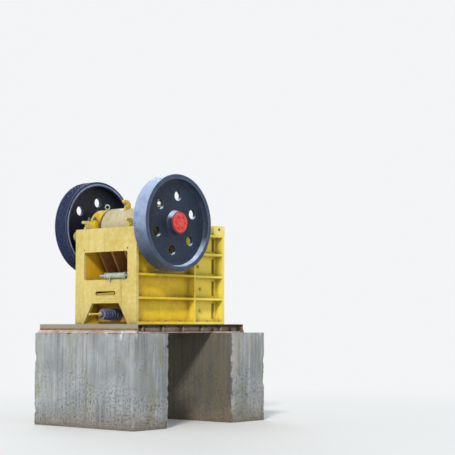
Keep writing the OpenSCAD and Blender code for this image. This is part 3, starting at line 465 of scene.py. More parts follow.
def bareSteel(name, s):
    g, w = steelGrain, steelWear
    material, tree, shader, place, _ = startFinish(name)
    x, _, z = parts(tree, place)
    shade = blendColor(tree, patches(tree, place, (s["patch"], *g["tones"])), s["steel"], s["second"])
    if "bright" in s:  # zinc spangle
        leaf = parts(tree, cells(tree, place, w["spangle"], "Color"))[0]
        shade = blendColor(tree, between(tree, leaf, 0.0, 1.0, 0.0, w["spangleMost"]), shade, s["bright"])
    for low, high, tint in s.get("bands", ()):  # stripes along the height
        level = calc(tree, "ADD", z, patches(tree, place, g["bandEdge"], -w["bandWave"], w["bandWave"]))
        shade = blendColor(tree, times(tree, band(tree, level, low, high), w["bandMost"]), shade, tint)
    if "behind" in s:  # painted where it lies behind this X
        limit, tint = s["behind"]
        shade = blendColor(tree, below(tree, x, limit, w["behindSoft"]), shade, tint)
    crust = cloud(tree, place, *g["crust"])
    crust = between(tree, crust, s["rustFrom"], s["rustFrom"] + w["rustWidth"])
    rust = blendColor(tree, patches(tree, place, g["rust"]), rusts["rust"], rusts["rustLight"])
    shade = blendColor(tree, crust, shade, rust)
    # painted shade: darker and less metallic in corners and creases, mixed with grime
    crease = times(tree, corners(tree, w["reach"]), w["creases"])
    shade = blendColor(tree, crease, shade, rusts["grimeAndShade"])
    bare = calc(tree, "SUBTRACT", 1.0, calc(tree, "MAXIMUM", crust, crease))
    tree.links.new(times(tree, bare, s["metal"]), shader.inputs["Metallic"])
    rough = patches(tree, place, g["gloss"], s["rough"] + w["smooth"], s["rough"] + w["dull"])
    rough = calc(tree, "MAXIMUM", rough, times(tree, crust, w["rustRough"]))
    pitted = bumps(tree, place, (*g["pits"], s["pitDepth"]), bumps(tree, place, g["skin"]))
    linkFinish(tree, shader, shade, rough, pitted)
    return material


galvanised = bareSteel("galvanised", {
    "steel": tone(0.70, 0.75, 0.70), "second": tone(0.55, 0.61, 0.56), "bright": tone(0.88, 0.92, 0.88),
    "patch": 8, "rustFrom": 0.68, "metal": 0.45, "rough": 0.36, "pitDepth": 0.0008})
rustySteel = bareSteel("rustySteel", {
    "steel": tone(0.36, 0.27, 0.20), "second": tone(0.30, 0.21, 0.15),
    "patch": 5, "rustFrom": 0.34, "metal": 0.2, "rough": 0.7, "pitDepth": 0.003})
jawSteel = bareSteel("jawSteel", {
    "steel": tone(0.46, 0.43, 0.40), "second": tone(0.34, 0.31, 0.29),
    "patch": 4, "rustFrom": 0.55, "metal": 0.6, "rough": 0.48, "pitDepth": 0.004})
oiledSteel = bareSteel("oiledSteel", {
    "steel": tone(0.50, 0.51, 0.52), "second": tone(0.40, 0.41, 0.42),
    "patch": 7, "rustFrom": 0.60, "metal": 0.85, "rough": 0.33, "pitDepth": 0.0008})
wedgeSteel = bareSteel("wedgeSteel", {  # the shim pack's rear end is painted over
    "steel": tone(0.46, 0.43, 0.40), "second": tone(0.34, 0.31, 0.29),
    "patch": 4, "rustFrom": 0.60, "metal": 0.3, "rough": 0.5, "pitDepth": 0.003,
    "behind": (span("rear_wall")[1].x + 0.06, tone(0.66, 0.56, 0.20))})
baseSet = {
    "steel": tone(0.66, 0.60, 0.55), "second": tone(0.56, 0.49, 0.43),
    "patch": 3, "rustFrom": 0.60, "metal": 0.1, "rough": 0.62, "pitDepth": 0.002}
# the dark band along the top of the base beams is painted shade under the frame's foot
beamSteel = bareSteel("beamSteel", {**baseSet, "bands": [(baseZ - 0.055, baseZ, tone(0.33, 0.24, 0.18))]})
channelSteel = bareSteel("channelSteel", {
    **baseSet, "bands": [(baseZ - 0.065, baseZ + 0.01, tone(0.57, 0.57, 0.49)),
                         (baseZ - 0.110, baseZ - 0.065, tone(0.58, 0.40, 0.27))]})
rodSteel = bareSteel("rodSteel", {  # yellow rod, blue-grey nuts and washer
    "steel": tone(0.44, 0.50, 0.60), "second": tone(0.36, 0.41, 0.50),
    "patch": 7, "rustFrom": 0.66, "metal": 0.1, "rough": 0.45, "pitDepth": 0.0008,
    "behind": (springLow.x - 0.052, tone(0.84, 0.72, 0.38))})
print("steels made")

# concrete: grey, with runs down its sides, pores, honeycombed patches, brown soil splashed up its foot, and
# painted shade in the passage and corners
concreteGrain = {
    "tones": (1.3, 0.33, 0.68, 6, 0.6), "moss": (1.0, 0.50, 0.66, 6, 0.68),
    "stain": (1.0, 0.44, 0.66, 6, 0.68), "drips": (1.0, 0.56, 0.68, 5, 0.65),
    "splash": (5, 0.2, 0.8, 5, 0.7), "sand": (130, 0.3, 0.7, 3, 0.7), "poreGroups": (6, 0.42, 0.62, 4, 0.55),
    "pits": (28, 0.53, 0.62, 5, 0.72), "pitEdge": (2, 0.3, 0.7, 3, 0.55),
    "skin": (60, 6, 0.75, 0.004), "poreDepth": -0.004,
}
concreteWear = {
    "streaks": (13, 13, 0.8), "streakNoise": (1.0, 6, 0.66),
    # ranges of the streaks
    "run": (0.48, 0.70, 0.0, 0.72), "lime": (0.44, 0.30, 0.0, 0.55), "shadeStreak": (0.40, 0.62),
    "moss": ((6, 6, 1.1), (4, 1, 2)), "stain": ((3, 3, 1.0), (1, 7, 3)), "drips": ((9, 9, 1.6), (2, 5, 1)),
    "mossMost": 0.62, "stainAlong": (0.5, 0.9, 0.15, 0.7), "dripFrom": 0.16, "dripTo": 0.01, "dripMost": 0.8,
    "liningReach": 0.04, "liningSoft": 0.02, "liningNormal": (0.4, 0.8, 0.0, 0.90),
    "splash": 0.16, "soil": (0.34, 0.02, 0.0, 0.65), "sandMost": 0.22,
    "poreScale": 34, "pore": (0.16, 0.06), "pitHeight": (1.9, 0.7), "poreMost": 0.6,
    "creaseReach": 0.10, "creases": 0.5, "rough": 0.93, "shine": 0.25,
}
concreteSet = {
    "pale": tone(0.67, 0.685, 0.70), "grey": tone(0.56, 0.575, 0.59), "run": tone(0.44, 0.45, 0.46),
    "lime": tone(0.78, 0.80, 0.82), "moss": tone(0.55, 0.555, 0.42), "soil": tone(0.50, 0.45, 0.38),
    "warm": tone(0.72, 0.67, 0.56), "drip": tone(0.90, 0.90, 0.88),
    # the passage tone and its streak tone are painted shade for the passage's lining; the passage tone also
    # colours the pores and corners
    "passage": tone(0.33, 0.315, 0.28), "shadeStreak": tone(0.42, 0.385, 0.29),
    "gap": (rearPier[1].x, frontPier[0].x),  # rear and front face of the passage
    "top": pierTop,
}


def castConcrete(name, s):
    g, w = concreteGrain, concreteWear
    material, tree, shader, place, normal = startFinish(name)
    x, _, z = parts(tree, place)
    shade = blendColor(tree, patches(tree, place, g["tones"]), s["pale"], s["grey"])
    streak = cloud(tree, stretch(tree, place, w["streaks"]), *w["streakNoise"])
    shade = blendColor(tree, between(tree, streak, *w["run"]), shade, s["run"])
    shade = blendColor(tree, between(tree, streak, *w["lime"]), shade, s["lime"])
    moss = patches(tree, stretch(tree, place, *w["moss"]), g["moss"], 0.0, w["mossMost"])
    shade = blendColor(tree, moss, shade, s["moss"])
    stain = patches(tree, stretch(tree, place, *w["stain"]), g["stain"])
    shade = blendColor(tree, times(tree, stain, between(tree, x, *w["stainAlong"])), shade, s["warm"])
    # lime washed down from the top edge
    drips = patches(tree, stretch(tree, place, *w["drips"]), g["drips"])
    drips = times(tree, drips, between(tree, z, s["top"] - w["dripFrom"], s["top"] - w["dripTo"]))
    shade = blendColor(tree, times(tree, drips, w["dripMost"]), shade, s["drip"])
    # painted shade: the faces that line the passage get a dark, streaked tone
    rear, front = s["gap"]
    lining = band(tree, x, rear - w["liningReach"], front + w["liningReach"], w["liningSoft"])
    facing = magnitude(tree, parts(tree, normal)[0])
    lining = times(tree, lining, between(tree, facing, *w["liningNormal"]))
    passageShade = blendColor(tree, between(tree, streak, *w["shadeStreak"]), s["passage"], s["shadeStreak"])
    shade = blendColor(tree, lining, shade, passageShade)
    low = calc(tree, "ADD", z, patches(tree, place, g["splash"], -w["splash"], w["splash"]))
    shade = blendColor(tree, between(tree, low, *w["soil"]), shade, s["soil"])
    shade = blendColor(tree, patches(tree, place, g["sand"], 0.0, w["sandMost"]), shade, s["run"])
    pores = between(tree, cells(tree, place, w["poreScale"]), *w["pore"])
    pores = times(tree, pores, patches(tree, place, g["poreGroups"]))
    # honeycombed patches, most of them low down
    level = calc(tree, "ADD", low, patches(tree, place, g["pitEdge"]))
    pits = times(tree, patches(tree, place, g["pits"]), between(tree, level, *w["pitHeight"]))
    pores = calc(tree, "MAXIMUM", pores, pits)
    shade = blendColor(tree, times(tree, pores, w["poreMost"]), shade, s["passage"])
    # painted shade in corners and creases
    shade = blendColor(tree, times(tree, corners(tree, w["creaseReach"]), w["creases"]), shade, s["passage"])
    pitted = relief(tree, pores, g["poreDepth"], bumps(tree, place, g["skin"]))
    linkFinish(tree, shader, shade, w["rough"], pitted, w["shine"])
    return material


concrete = castConcrete("concrete", concreteSet)
mortar = castConcrete("mortar", {
    **concreteSet, "pale": tone(0.86, 0.81, 0.76), "grey": tone(0.66, 0.58, 0.52),
    "run": tone(0.52, 0.44, 0.38), "moss": tone(0.62, 0.54, 0.46), "gap": (-9, -9)})  # no passage near it
print("concrete made")

# light: an even pale sky, a soft sun from the left behind the camera and a weak one from the other side
backdrop = (0.90, 0.91, 0.92)
lightSet = {
    "sky": (0.86, 0.92, 1.0), "skyLevel": 0.62,
    # each sun: direction, strength, width in degrees, colour
    "suns": [("mainSun", (0.80, 0.46, -0.60), 2.3, 9, (1.0, 0.97, 0.90)),
             ("fillSun", (-0.55, -0.70, -0.50), 0.7, 30, (0.92, 0.95, 1.0))],
}
floorSet = {
    "radius": 60.0, "sides": 96, "tone": (0.80, 0.80, 0.79), "rough": 0.9, "shine": 0.1,
    "fade": (5.0, 13.0),  # how far out it starts to turn into the backdrop, and where it has
}


def seenBy(tree, *rays):  # 1 for rays of any of these kinds
    path = tree.nodes.new("ShaderNodeLightPath").outputs
    seen = path[rays[0]]
    for ray in rays[1:]:
        seen = calc(tree, "MAXIMUM", seen, path[ray])
    return seen


def mixShaders(tree, amount, a, b):
    node = tree.nodes.new("ShaderNodeMixShader")
    tree.links.new(amount, node.inputs["Fac"])
    tree.links.new(a, node.inputs[1])
    tree.links.new(b, node.inputs[2])
    return node.outputs["Shader"]


def makeLight(s):
    world = bpy.data.worlds.new("sky")
    scene.world = world
    world.use_nodes = True
    tree = world.node_tree
    sky = tree.nodes["Background"]
    sky.inputs["Color"].default_value = (*s["sky"], 1)
    sky.inputs["Strength"].default_value = s["skyLevel"]
    shown = tree.nodes.new("ShaderNodeBackground")
    shown.inputs["Color"].default_value = (*backdrop, 1)
    seen = seenBy(tree, "Is Camera Ray", "Is Glossy Ray", "Is Transmission Ray")
    both = mixShaders(tree, seen, sky.outputs["Background"], shown.outputs["Background"])
    tree.links.new(both, tree.nodes["World Output"].inputs["Surface"])
    for name, direction, strength, width, tint in s["suns"]:
        data = bpy.data.lights.new(name, "SUN")
        data.energy = strength
        data.angle = math.radians(width)
        data.color = tint
        lamp = bpy.data.objects.new(name, data)
        lamp.rotation_euler = Vector(direction).to_track_quat("-Z", "Y").to_euler()
        scene.collection.objects.link(lamp)


def makeFloor(s):
    mesh = bpy.data.meshes.new("floor")
    bm = bmesh.new()
    bmesh.ops.create_circle(bm, cap_ends=True, segments=s["sides"], radius=s["radius"])
    bm.to_mesh(mesh)
    bm.free()
    floor = bpy.data.objects.new("floor", mesh)
    scene.collection.objects.link(floor)
    material, tree, shader, place, _ = startFinish("floorPaper")
    shader.inputs["Base Color"].default_value = (*s["tone"], 1)
    shader.inputs["Roughness"].default_value = s["rough"]
    shader.inputs["Specular IOR Level"].default_value = s["shine"]
    away = between(tree, length(tree, place), *s["fade"])
    far = times(tree, away, seenBy(tree, "Is Camera Ray", "Is Glossy Ray"))
    glow = tree.nodes.new("ShaderNodeEmission")
    glow.inputs["Color"].default_value = (*backdrop, 1)
    both = mixShaders(tree, far, shader.outputs["BSDF"], glow.outputs["Emission"])
    tree.links.new(both, tree.nodes["Material Output"].inputs["Surface"])
    mesh.materials.append(material)


makeLight(lightSet)
makeFloor(floorSet)
print("light and floor made")


# shape helpers
def finishPiece(name, bm, material, body, sharpAngle=32):
    mesh = bpy.data.meshes.new(name)
    bm.to_mesh(mesh)
    bm.free()
    mesh.materials.append(material)
    mesh.shade_smooth()
    mesh.set_sharp_from_angle(angle=math.radians(sharpAngle))
    piece = bpy.data.objects.new(name, mesh)
    scene.collection.objects.link(piece)
    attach(piece, body)
    return piece


def bevelEdges(bm, chosen, width, segments):
    bmesh.ops.bevel(bm, geom=chosen, offset=width, offset_type="OFFSET", affect="EDGES",
                    segments=segments, profile=0.5, clamp_overlap=True, material=-1)


def boxMesh(low, high):
    bm = bmesh.new()
    fit = Matrix.Translation((high + low) / 2) @ Matrix.Diagonal((*(high - low), 1))
    bmesh.ops.create_cube(bm, size=1, matrix=fit)
    return bm


def sliceBox(bm, low, high, axis, step):  # cuts across one axis, about a step apart
    size = high - low
    normal = Vector([float(i == axis) for i in range(3)])
    count = max(1, round(size[axis] / step))
    for k in range(1, count):
        cut = low + normal * (k * size[axis] / count)
        whole = bm.verts[:] + bm.edges[:] + bm.faces[:]
        bmesh.ops.bisect_plane(bm, geom=whole, plane_co=cut, plane_no=normal)


sides = ((-1, "near"), (1, "far"))

# finished steel nodes: material, its slot's name, and how far the edges of each node are rounded
finishes = [
    (creamPaint, "cream_paint", {"rear_wall": 0.003, "screw_brackets": 0.002, "lifting_hooks": 0.004}),
    (framePaint, "yellow_paint", {"jaw_hook": 0.004}),
    (goldenPaint, "yellow_paint", {"side_plate_near": 0.003, "side_plate_far": 0.003}),
    (framePaint, "yellow_paint", {"front_wall": 0.003}),
    (palePaint, "yellow_paint", {"front_top_beam": 0.005}),
    (framePaint, "yellow_paint", {
        "bearing_seat_near": 0.005, "bearing_seat_far": 0.005,
        "bearing_cap_near": 0.005, "bearing_cap_far": 0.005,
        "bearing_cover_near": 0.002, "bearing_cover_far": 0.002}),
    (jawPaint, "yellow_paint", {"spring_bracket": 0.003, "swing_jaw": 0.005}),
    (framePaint, "yellow_paint", {"jaw_plate_clamp": 0.004}),
    (rustySteel, "rusty_steel", {
        "toggle_beam": 0.003, "toggle_block": 0.003, "toggle_plate": 0.002,
        "cheek_plate_near": 0.003, "cheek_plate_far": 0.003}),
    (jawSteel, "manganese_steel", {"fixed_jaw_plate": 0.005, "swing_jaw_plate": 0.005}),
    (wedgeSteel, "manganese_steel", {"adjusting_wedges": 0.003}),
    (jawSteel, "manganese_steel", {"jaw_toggle_seat": 0.002}),
    (beamSteel, "base_steel", {"base_beam_near": 0.003, "base_beam_far": 0.003}),
    (channelSteel, "base_steel", {"rear_cross_beam": 0.003, "front_cross_beam": 0.003}),
    (castIron, "wheel_paint", {"flywheel": 0.003}),
    (pulleyIron, "wheel_paint", {"belt_pulley": 0.0015}),
    (creamPaint, "bright_steel", {"lifting_trunnions": 0.004}),
]
keptNodes = {  # these keep their own mesh, with a new material
    "adjusting_screw": galvanised, "lifting_eyes": galvanised,
    "eccentric_shaft": oiledSteel, "rod_pin": oiledSteel,
    "tension_spring": springPaint, "tension_rod": rodSteel, "flywheel_cap": redPaint, "pulley_cap": redPaint,
}
roundSet = {
    "merge": 0.00002, "flat": 0.6, "sharp": 30,  # angles in degrees: what is dissolved, and what is bevelled
    "segments": 2,
}


def roundNode(name, material, width, s):
    bm = bmesh.new()
    bm.from_mesh(frame["nodes"][name].data)
    bmesh.ops.remove_doubles(bm, verts=bm.verts, dist=s["merge"])
    bmesh.ops.dissolve_limit(bm, angle_limit=math.radians(s["flat"]), verts=bm.verts, edges=bm.edges)
    least = math.radians(s["sharp"])
    sharp = [e for e in bm.edges if len(e.link_faces) == 2 and e.calc_face_angle(0) > least]
    bevelEdges(bm, sharp, width, s["segments"])
    body = [b for b, members in frame["record"]["behaviour"]["bodies"].items() if name in members][0]
    piece = finishPiece(name + "_rounded", bm, material, body)
    weighted = piece.modifiers.new("weightedNormals", "WEIGHTED_NORMAL")
    weighted.keep_sharp = True
    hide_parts(name)


for material, slot, widths in finishes:
    for name, width in widths.items():
        roundNode(name, material, width, roundSet)
for name, material in keptNodes.items():
    for entry in frame["nodes"][name].material_slots:
        entry.material = material
print("nodes finished")

# concrete piers: poured against boards, edges knocked off, pitted near the ground;
# each kind of wear has its depth, the scale of its noise, the noise value it starts at, and its reach
pierSet = {
    "cell": 0.035,  # size of the faces
    "chamfer": 0.025, "sharpAngle": 50,
    "seats": [span(n) for n in ("base_beam_near", "base_beam_far", "rear_cross_beam", "front_cross_beam")],
    "seatEdge": 0.012,  # the concrete stays flat this far round the steel
    "near": 0.001,  # from the top or the foot, counts as on it
    "skin": 0.003, "skinScale": 9, "skinFrom": -0.5,
    "chip": 0.022, "chipScale": 6, "chipFrom": 0.10, "chipReach": 0.09, "chipGain": 3.2,
    "broken": 0.013, "brokenScale": 13, "brokenFrom": -0.4, "brokenReach": 0.13, "brokenGain": 2,
    "pit": 0.012, "pitScale": 17, "pitFrom": -0.1, "pitReach": 0.55,
    "lift": 0.46, "joint": 0.004, "jointReach": 0.03,  # height of a board lift, and its line
}


def fade(distance, reach):
    return max(0.0, 1 - distance / reach)


def rugged(p):
    return noise.fractal(p, 0.8, 2.0, 3)  # smoothness, step and number of its layers


def wearDepth(p, low, high, s):
    toSide = min(p.y - low.y, high.y - p.y)
    toEnd = min(p.x - low.x, high.x - p.x)
    toEdge = sorted((toSide, toEnd, high.z - p.z))[1]  # distance from the nearest edge
    toPassage = min(abs(p.x - x) for x in concreteSet["gap"])
    toJoint = abs((p.z / s["lift"] + 0.5) % 1 - 0.5) * s["lift"]
    depth = s["skin"] * max(0.0, noise.noise(p * s["skinScale"]) - s["skinFrom"])
    knock = max(0.0, rugged(p * s["chipScale"]) - s["chipFrom"]) * fade(toEdge, s["chipReach"])
    depth += s["chip"] * min(1.0, s["chipGain"] * knock)
    # spalled band along the passage's corners
    spall = min(1.0, s["brokenGain"] * fade(max(toPassage, toSide), s["brokenReach"]))
    depth += s["broken"] * spall * max(0.0, rugged(p * s["brokenScale"]) - s["brokenFrom"])
    depth += s["pit"] * fade(p.z, s["pitReach"]) * max(0.0, noise.noise(p * s["pitScale"]) - s["pitFrom"])
    return depth + s["joint"] * fade(toJoint, s["jointReach"])


def makePier(node, s):
    low, high = span(node)
    bm = boxMesh(low, high)
    half = (high.z - low.z) / 2
    upright = [e for e in bm.edges if abs(e.verts[0].co.z - e.verts[1].co.z) > half]
    bevelEdges(bm, upright, s["chamfer"], 1)
    for axis in range(3):
        sliceBox(bm, low, high, axis, s["cell"])
    bm.normal_update()
    edge = s["seatEdge"]
    moved = {}
    for v in bm.verts:
        p = v.co
        onSeat = high.z - p.z < s["near"] and any(
            a.x - edge < p.x < b.x + edge and a.y - edge < p.y < b.y + edge for a, b in s["seats"])
        inward = -v.normal
        if p.z - low.z < s["near"]:
            inward.z = 0
        if not onSeat:
            moved[v] = inward * wearDepth(p, low, high, s)
    for v, step in moved.items():
        v.co += step
    piece = finishPiece(node + "_cast", bm, concrete, "frame", s["sharpAngle"])
    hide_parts(node)


for node in ("rear_pier", "front_pier"):
    makePier(node, pierSet)
print("piers made")

# mortar bed: pressed out along the foot of the base steel, uneven and rounded over
bedSet = {
    "step": 0.03, "inside": 0.002, "slope": 0.55, "sag": 0.35, "sideScale": 8, "topScale": 13,
    "topOuter": 1.4, "topInner": 0.7,  # how much of the sag the top's two edges take
    "channelHeight": 0.052, "channelWidth": 0.085, "beamHeight": 0.024, "beamWidth": 0.060,
    "toPierEdge": 0.012, "shorter": 0.02, "sharpAngle": 40,
}


def uneven(p):  # from 0 to 1
    return 0.5 + 0.5 * noise.noise(p)


def addBed(bm, low, high, outward, s):
    axis = 0 if outward.x else 1
    size, middle = high - low, (high + low) / 2
    bed = boxMesh(low, high)
    sliceBox(bed, low, high, 1 - axis, s["step"])
    for v in bed.verts:
        p = v.co.copy()
        outer = (p - middle).dot(outward) > 0
        top = p.z > middle.z
        if outer:
            share = s["sag"] * uneven(p * s["sideScale"]) + (s["slope"] if top else 0.0)
            v.co -= outward * size[axis] * share
        if top:
            v.co.z -= size.z * s["sag"] * uneven(p * s["topScale"]) * s["topOuter" if outer else "topInner"]
    mesh = bpy.data.meshes.new("bed")
    bed.to_mesh(mesh)
    bed.free()
    bm.from_mesh(mesh)
    bpy.data.meshes.remove(mesh)


def makeBeds(s):
    bm = bmesh.new()
    for sign, end, pier in ((-1, "rear", rearPier), (1, "front", frontPier)):
        beam = span(end + "_cross_beam")
        outer, inner = (0, 1) if sign < 0 else (1, 0)  # corners away from the passage and towards it
        face = beam[outer].x
        reach = min(s["channelWidth"], abs(pier[outer].x - face) - s["toPierEdge"])
        start, stop = sorted((face - sign * s["inside"], face + sign * reach))
        low = Vector((start, beam[0].y, pierTop))
        high = Vector((stop, beam[1].y, pierTop + s["channelHeight"]))
        addBed(bm, low, high, Vector((sign, 0, 0)), s)
        start, stop = sorted((beam[inner].x, pier[inner].x))
        for side, word in sides:
            foot = span("base_beam_" + word)[0 if side < 0 else 1].y
            ys = sorted((foot - side * s["inside"], foot + side * s["beamWidth"]))
            low = Vector((start + s["shorter"], ys[0], pierTop))
            high = Vector((stop - s["shorter"], ys[1], pierTop + s["beamHeight"]))
            addBed(bm, low, high, Vector((0, side, 0)), s)
    bmesh.ops.recalc_face_normals(bm, faces=bm.faces)
    finishPiece("mortar_bed", bm, mortar, "frame", s["sharpAngle"])


makeBeds(bedSet)
print("mortar made")

# fasteners: washer, hexagon with a turned-down corner ring, and the stud's end, in shares of the width across
nutShape = {
    "washerFoot": 0.68, "washerTop": 0.66, "washerHeight": 0.12, "washerSides": 20,
    "corner": 0.577, "height": 0.55, "chamfer": 0.06,
    "topReach": 0.6,  # holds the top's corners, not the foot's
    "studFoot": 0.30, "studTop": 0.27, "studSides": 14,
}


def addCone(bm, base, start, height, foot, top, count):
    place = base @ Matrix.Translation((0, 0, start + height / 2))
    return bmesh.ops.create_cone(bm, cap_ends=True, segments=count, radius1=foot, radius2=top,
                                 depth=height, matrix=place)["verts"]


def addFastener(bm, place, axis, across, stud=0.0, washer=True):
    n = nutShape
    turn = Vector((0, 0, 1)).rotation_difference(Vector(axis).normalized()).to_matrix().to_4x4()
    base = Matrix.Translation(place) @ turn
    seat = across * n["washerHeight"] if washer else 0.0
    if washer:
        addCone(bm, base, 0.0, seat, across * n["washerFoot"], across * n["washerTop"], n["washerSides"])
    height, corner = across * n["height"], across * n["corner"]
    made = addCone(bm, base, seat, height, corner, corner, 6)
    end = base @ Vector((0, 0, seat + height))
    top = [v for v in made if (v.co - end).length < across * n["topReach"]]
    ring = [e for e in {e for v in top for e in v.link_edges} if e.verts[0] in top and e.verts[1] in top]
    bevelEdges(bm, ring, across * n["chamfer"], 1)
    if stud:
        whole = seat + height + stud
        addCone(bm, base, 0.0, whole, across * n["studFoot"], across * n["studTop"], n["studSides"])


def boltPiece(name, bolts, across, material, body, washer=True):  # bolts: place, axis, length of stud
    bm = bmesh.new()
    for place, axis, stud in bolts:
        addFastener(bm, place, axis, across, stud, washer)
    finishPiece(name, bm, material, body)


def boltCircle(count, turn, radius, side, face):  # round the shaft, turned by a share of a step
    angles = [math.tau * (k + turn) / count for k in range(count)]
    spots = [(shaftX + radius * math.cos(a), side * face, shaftZ + radius * math.sin(a)) for a in angles]
    return [(spot, (0, side, 0), 0.0) for spot in spots]


boltSet = {
    "capAcross": 0.055, "capStud": 0.030, "capX": 0.354, "capY": (0.5155, 0.6595), "capTop": shaftZ + 0.085,
    "coverAcross": 0.024, "coverRadius": 0.214, "coverCount": 10,
    "coverFace": span("bearing_cap_far")[1].y + 0.020,
    "hubAcross": 0.030, "hubRadius": 0.108, "hubCount": 6, "hubFace": hubEnd + 0.0225,
    "baseAcross": 0.036, "baseStud": 0.012, "baseX": (-0.30, 0.10, 0.45, 0.85, 1.11, 1.40), "baseY": 0.648,
    "flangeTop": baseZ + 0.040, "flangeUnder": baseZ - 0.016,
    "cheekAcross": 0.041, "cheekStud": 0.012, "cheekFace": 0.544,
    "cheekSpots": ((0.62, 1.30), (1.00, 1.30), (0.60, 0.95), (0.98, 0.95),
                   (0.86, 0.58), (1.04, 0.58), (0.90, 0.22), (1.04, 0.22)),
    "anchorAcross": 0.041, "anchorStud": 0.035, "anchorFace": pierTop + 0.016,
    "anchorX": (-1.20, -0.85, 0.80, 1.25), "anchorY": (0.554, 0.634),
    "clampAcross": 0.036, "clampStud": 0.010, "clampX": shaftX + 0.3767, "clampZ": baseZ + 1.3849,
    "clampAxis": (0.542, 0, 0.840), "clampY": (0.12, 0.36),
}


def makeFasteners(s):
    up, down = (0, 0, 1), (0, 0, -1)
    for side, word in sides:
        studs = [((shaftX + x, side * y, s["capTop"]), up, s["capStud"])
                 for x in (-s["capX"], s["capX"]) for y in s["capY"]]
        boltPiece(f"cap_studs_{word}", studs, s["capAcross"], oiledSteel, "frame")
        covers = boltCircle(s["coverCount"], 0.5, s["coverRadius"], side, s["coverFace"])
        boltPiece(f"cover_bolts_{word}", covers, s["coverAcross"], framePaint, "frame", False)
        hub = boltCircle(s["hubCount"], 0.0, s["hubRadius"], side, s["hubFace"])
        boltPiece(f"hub_bolts_{word}", hub, s["hubAcross"], redPaint, "shaft")
        base = []
        for x in s["baseX"]:
            base.append(((shaftX + x, side * s["baseY"], s["flangeTop"]), up, 0.0))
            base.append(((shaftX + x, side * s["baseY"], s["flangeUnder"]), down, s["baseStud"]))
        boltPiece(f"base_bolts_{word}", base, s["baseAcross"], beamSteel, "frame")
        cheek = [((shaftX + x, side * s["cheekFace"], baseZ + z), (0, side, 0), s["cheekStud"])
                 for x, z in s["cheekSpots"]]
        boltPiece(f"cheek_plate_nuts_{word}", cheek, s["cheekAcross"], framePaint, "frame")
        anchors = [((x, side * y, s["anchorFace"]), up, s["anchorStud"])
                   for x in s["anchorX"] for y in s["anchorY"]]
        boltPiece(f"anchor_bolts_{word}", anchors, s["anchorAcross"], rustySteel, "frame")
    clamp = [((s["clampX"], side * y, s["clampZ"]), s["clampAxis"], s["clampStud"])
             for y in s["clampY"] for side in (-1, 1)]
    boltPiece("clamp_bolts", clamp, s["clampAcross"], rustySteel, "jaw")


makeFasteners(boltSet)
print("fasteners made")


# turned shapes: a profile of (along, radius) points, spun round an axis along X or Y
def addTurned(bm, profile, start, along, steps=20):
    start, axis, out = Vector(start), Vector(along), Vector((0, 0, 1))
    verts = [bm.verts.new(start + axis * a + out * r) for a, r in profile]
    line = [bm.edges.new(ends) for ends in zip(verts, verts[1:])]
    bmesh.ops.spin(bm, geom=verts + line, cent=start, axis=axis, angle=math.tau, steps=steps, use_merge=True)
    bmesh.ops.recalc_face_normals(bm, faces=bm.faces)


threadSet = {"depth": 0.0020, "pitch": 0.006, "sharpAngle": 60}
rodThread = {
    **threadSet, "start": (rodLow.x + 0.004, 0, baseZ + 0.155), "along": (1, 0, 0),
    "length": springLow.x - rodLow.x - 0.056, "radius": 0.0188,
}
screwThread = {
    **threadSet, "start": (shaftX - 0.602, -0.012, baseZ + 0.763), "along": (0, 1, 0),
    "length": 0.122, "radius": 0.0208,
}


def makeThread(name, material, s):
    crest, root, pitch = s["radius"], s["radius"] - s["depth"], s["pitch"]
    profile = [(0.0, root)]
    for k in range(int(s["length"] / pitch)):
        profile += [((k + 0.5) * pitch, crest), ((k + 1) * pitch, root)]
    bm = bmesh.new()
    addTurned(bm, profile, s["start"], s["along"])
    finishPiece(name, bm, material, "frame", s["sharpAngle"])


makeThread("rod_thread", rodSteel, rodThread)
makeThread("screw_thread", galvanised, screwThread)
print("threads made")

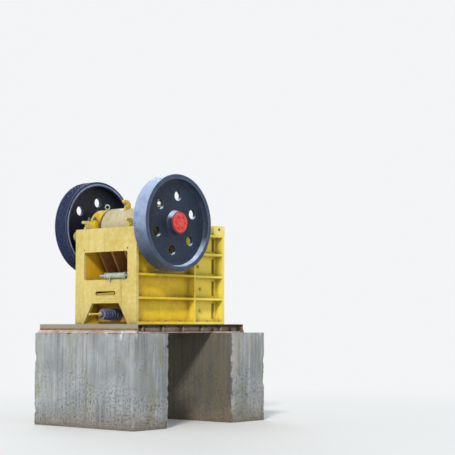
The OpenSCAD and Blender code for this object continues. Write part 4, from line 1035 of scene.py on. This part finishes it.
# welds: one rippled bead, repeated and stretched along each seam
weldSet = {
    "radius": 0.0065, "ripple": 0.0011, "step": 0.010, "crest": 0.6, "unit": 0.10, "steps": 6,
    "sharpAngle": 60,
    "wall": 0.545, "ribEdge": -plateLow.y, "xFrom": plateLow.x, "xTo": plateHigh.x - 0.05,
    "ribs": (baseZ + 1.17, baseZ + 0.80, baseZ + 0.43), "ribT": 0.036,
    "foot": baseZ + 0.04, "top": baseZ + 1.485,
    "uprights": (shaftX + 0.740, shaftX + 0.776), "uprightTop": baseZ + 1.134,
}


def weldUnit(s):
    low, high = s["radius"] - s["ripple"], s["radius"] + s["ripple"]
    profile = []
    for k in range(round(s["unit"] / s["step"])):
        profile += [(k * s["step"], low), ((k + s["crest"]) * s["step"], high)]
    profile.append((s["unit"], low))
    bm = bmesh.new()
    addTurned(bm, profile, (0, 0, 0), (1, 0, 0), s["steps"])
    mesh = bpy.data.meshes.new("weldUnit")
    bm.to_mesh(mesh)
    bm.free()
    return mesh


def addWeld(bm, unit, a, b, s):
    a, b = Vector(a), Vector(b)
    seam = b - a
    count = max(1, round(seam.length / s["unit"]))
    turn = Vector((1, 0, 0)).rotation_difference(seam.normalized()).to_matrix().to_4x4()
    fit = Matrix.Diagonal((seam.length / count / s["unit"], 1, 1, 1))
    for k in range(count):
        before = len(bm.verts)
        bm.from_mesh(unit)
        bm.verts.ensure_lookup_table()
        place = Matrix.Translation(a.lerp(b, k / count)) @ turn @ fit
        bmesh.ops.transform(bm, matrix=place, verts=bm.verts[before:])


def makeWelds(s):
    unit = weldUnit(s)
    rear, front, foot, top = s["xFrom"], s["xTo"], s["foot"], s["top"]
    levels = [z for rib in s["ribs"] for z in (rib, rib - s["ribT"])] + [top - s["ribT"], foot]
    for side, word in sides:
        y, edge = side * s["wall"], side * s["ribEdge"]
        seams = [((rear, y, z), (front, y, z)) for z in levels]
        seams += [((x, y, foot), (x, y, s["uprightTop"])) for x in s["uprights"]]
        seams += [((front, y, z), (front, edge, z)) for z in levels]
        seams += [((x, y, foot), (x, y, top)) for x in (front, rear)]
        bm = bmesh.new()
        for a, b in seams:
            addWeld(bm, unit, a, b, s)
        finishPiece(f"weld_beads_{word}", bm, goldenPaint, "frame", s["sharpAngle"])


makeWelds(weldSet)
print("welds made")
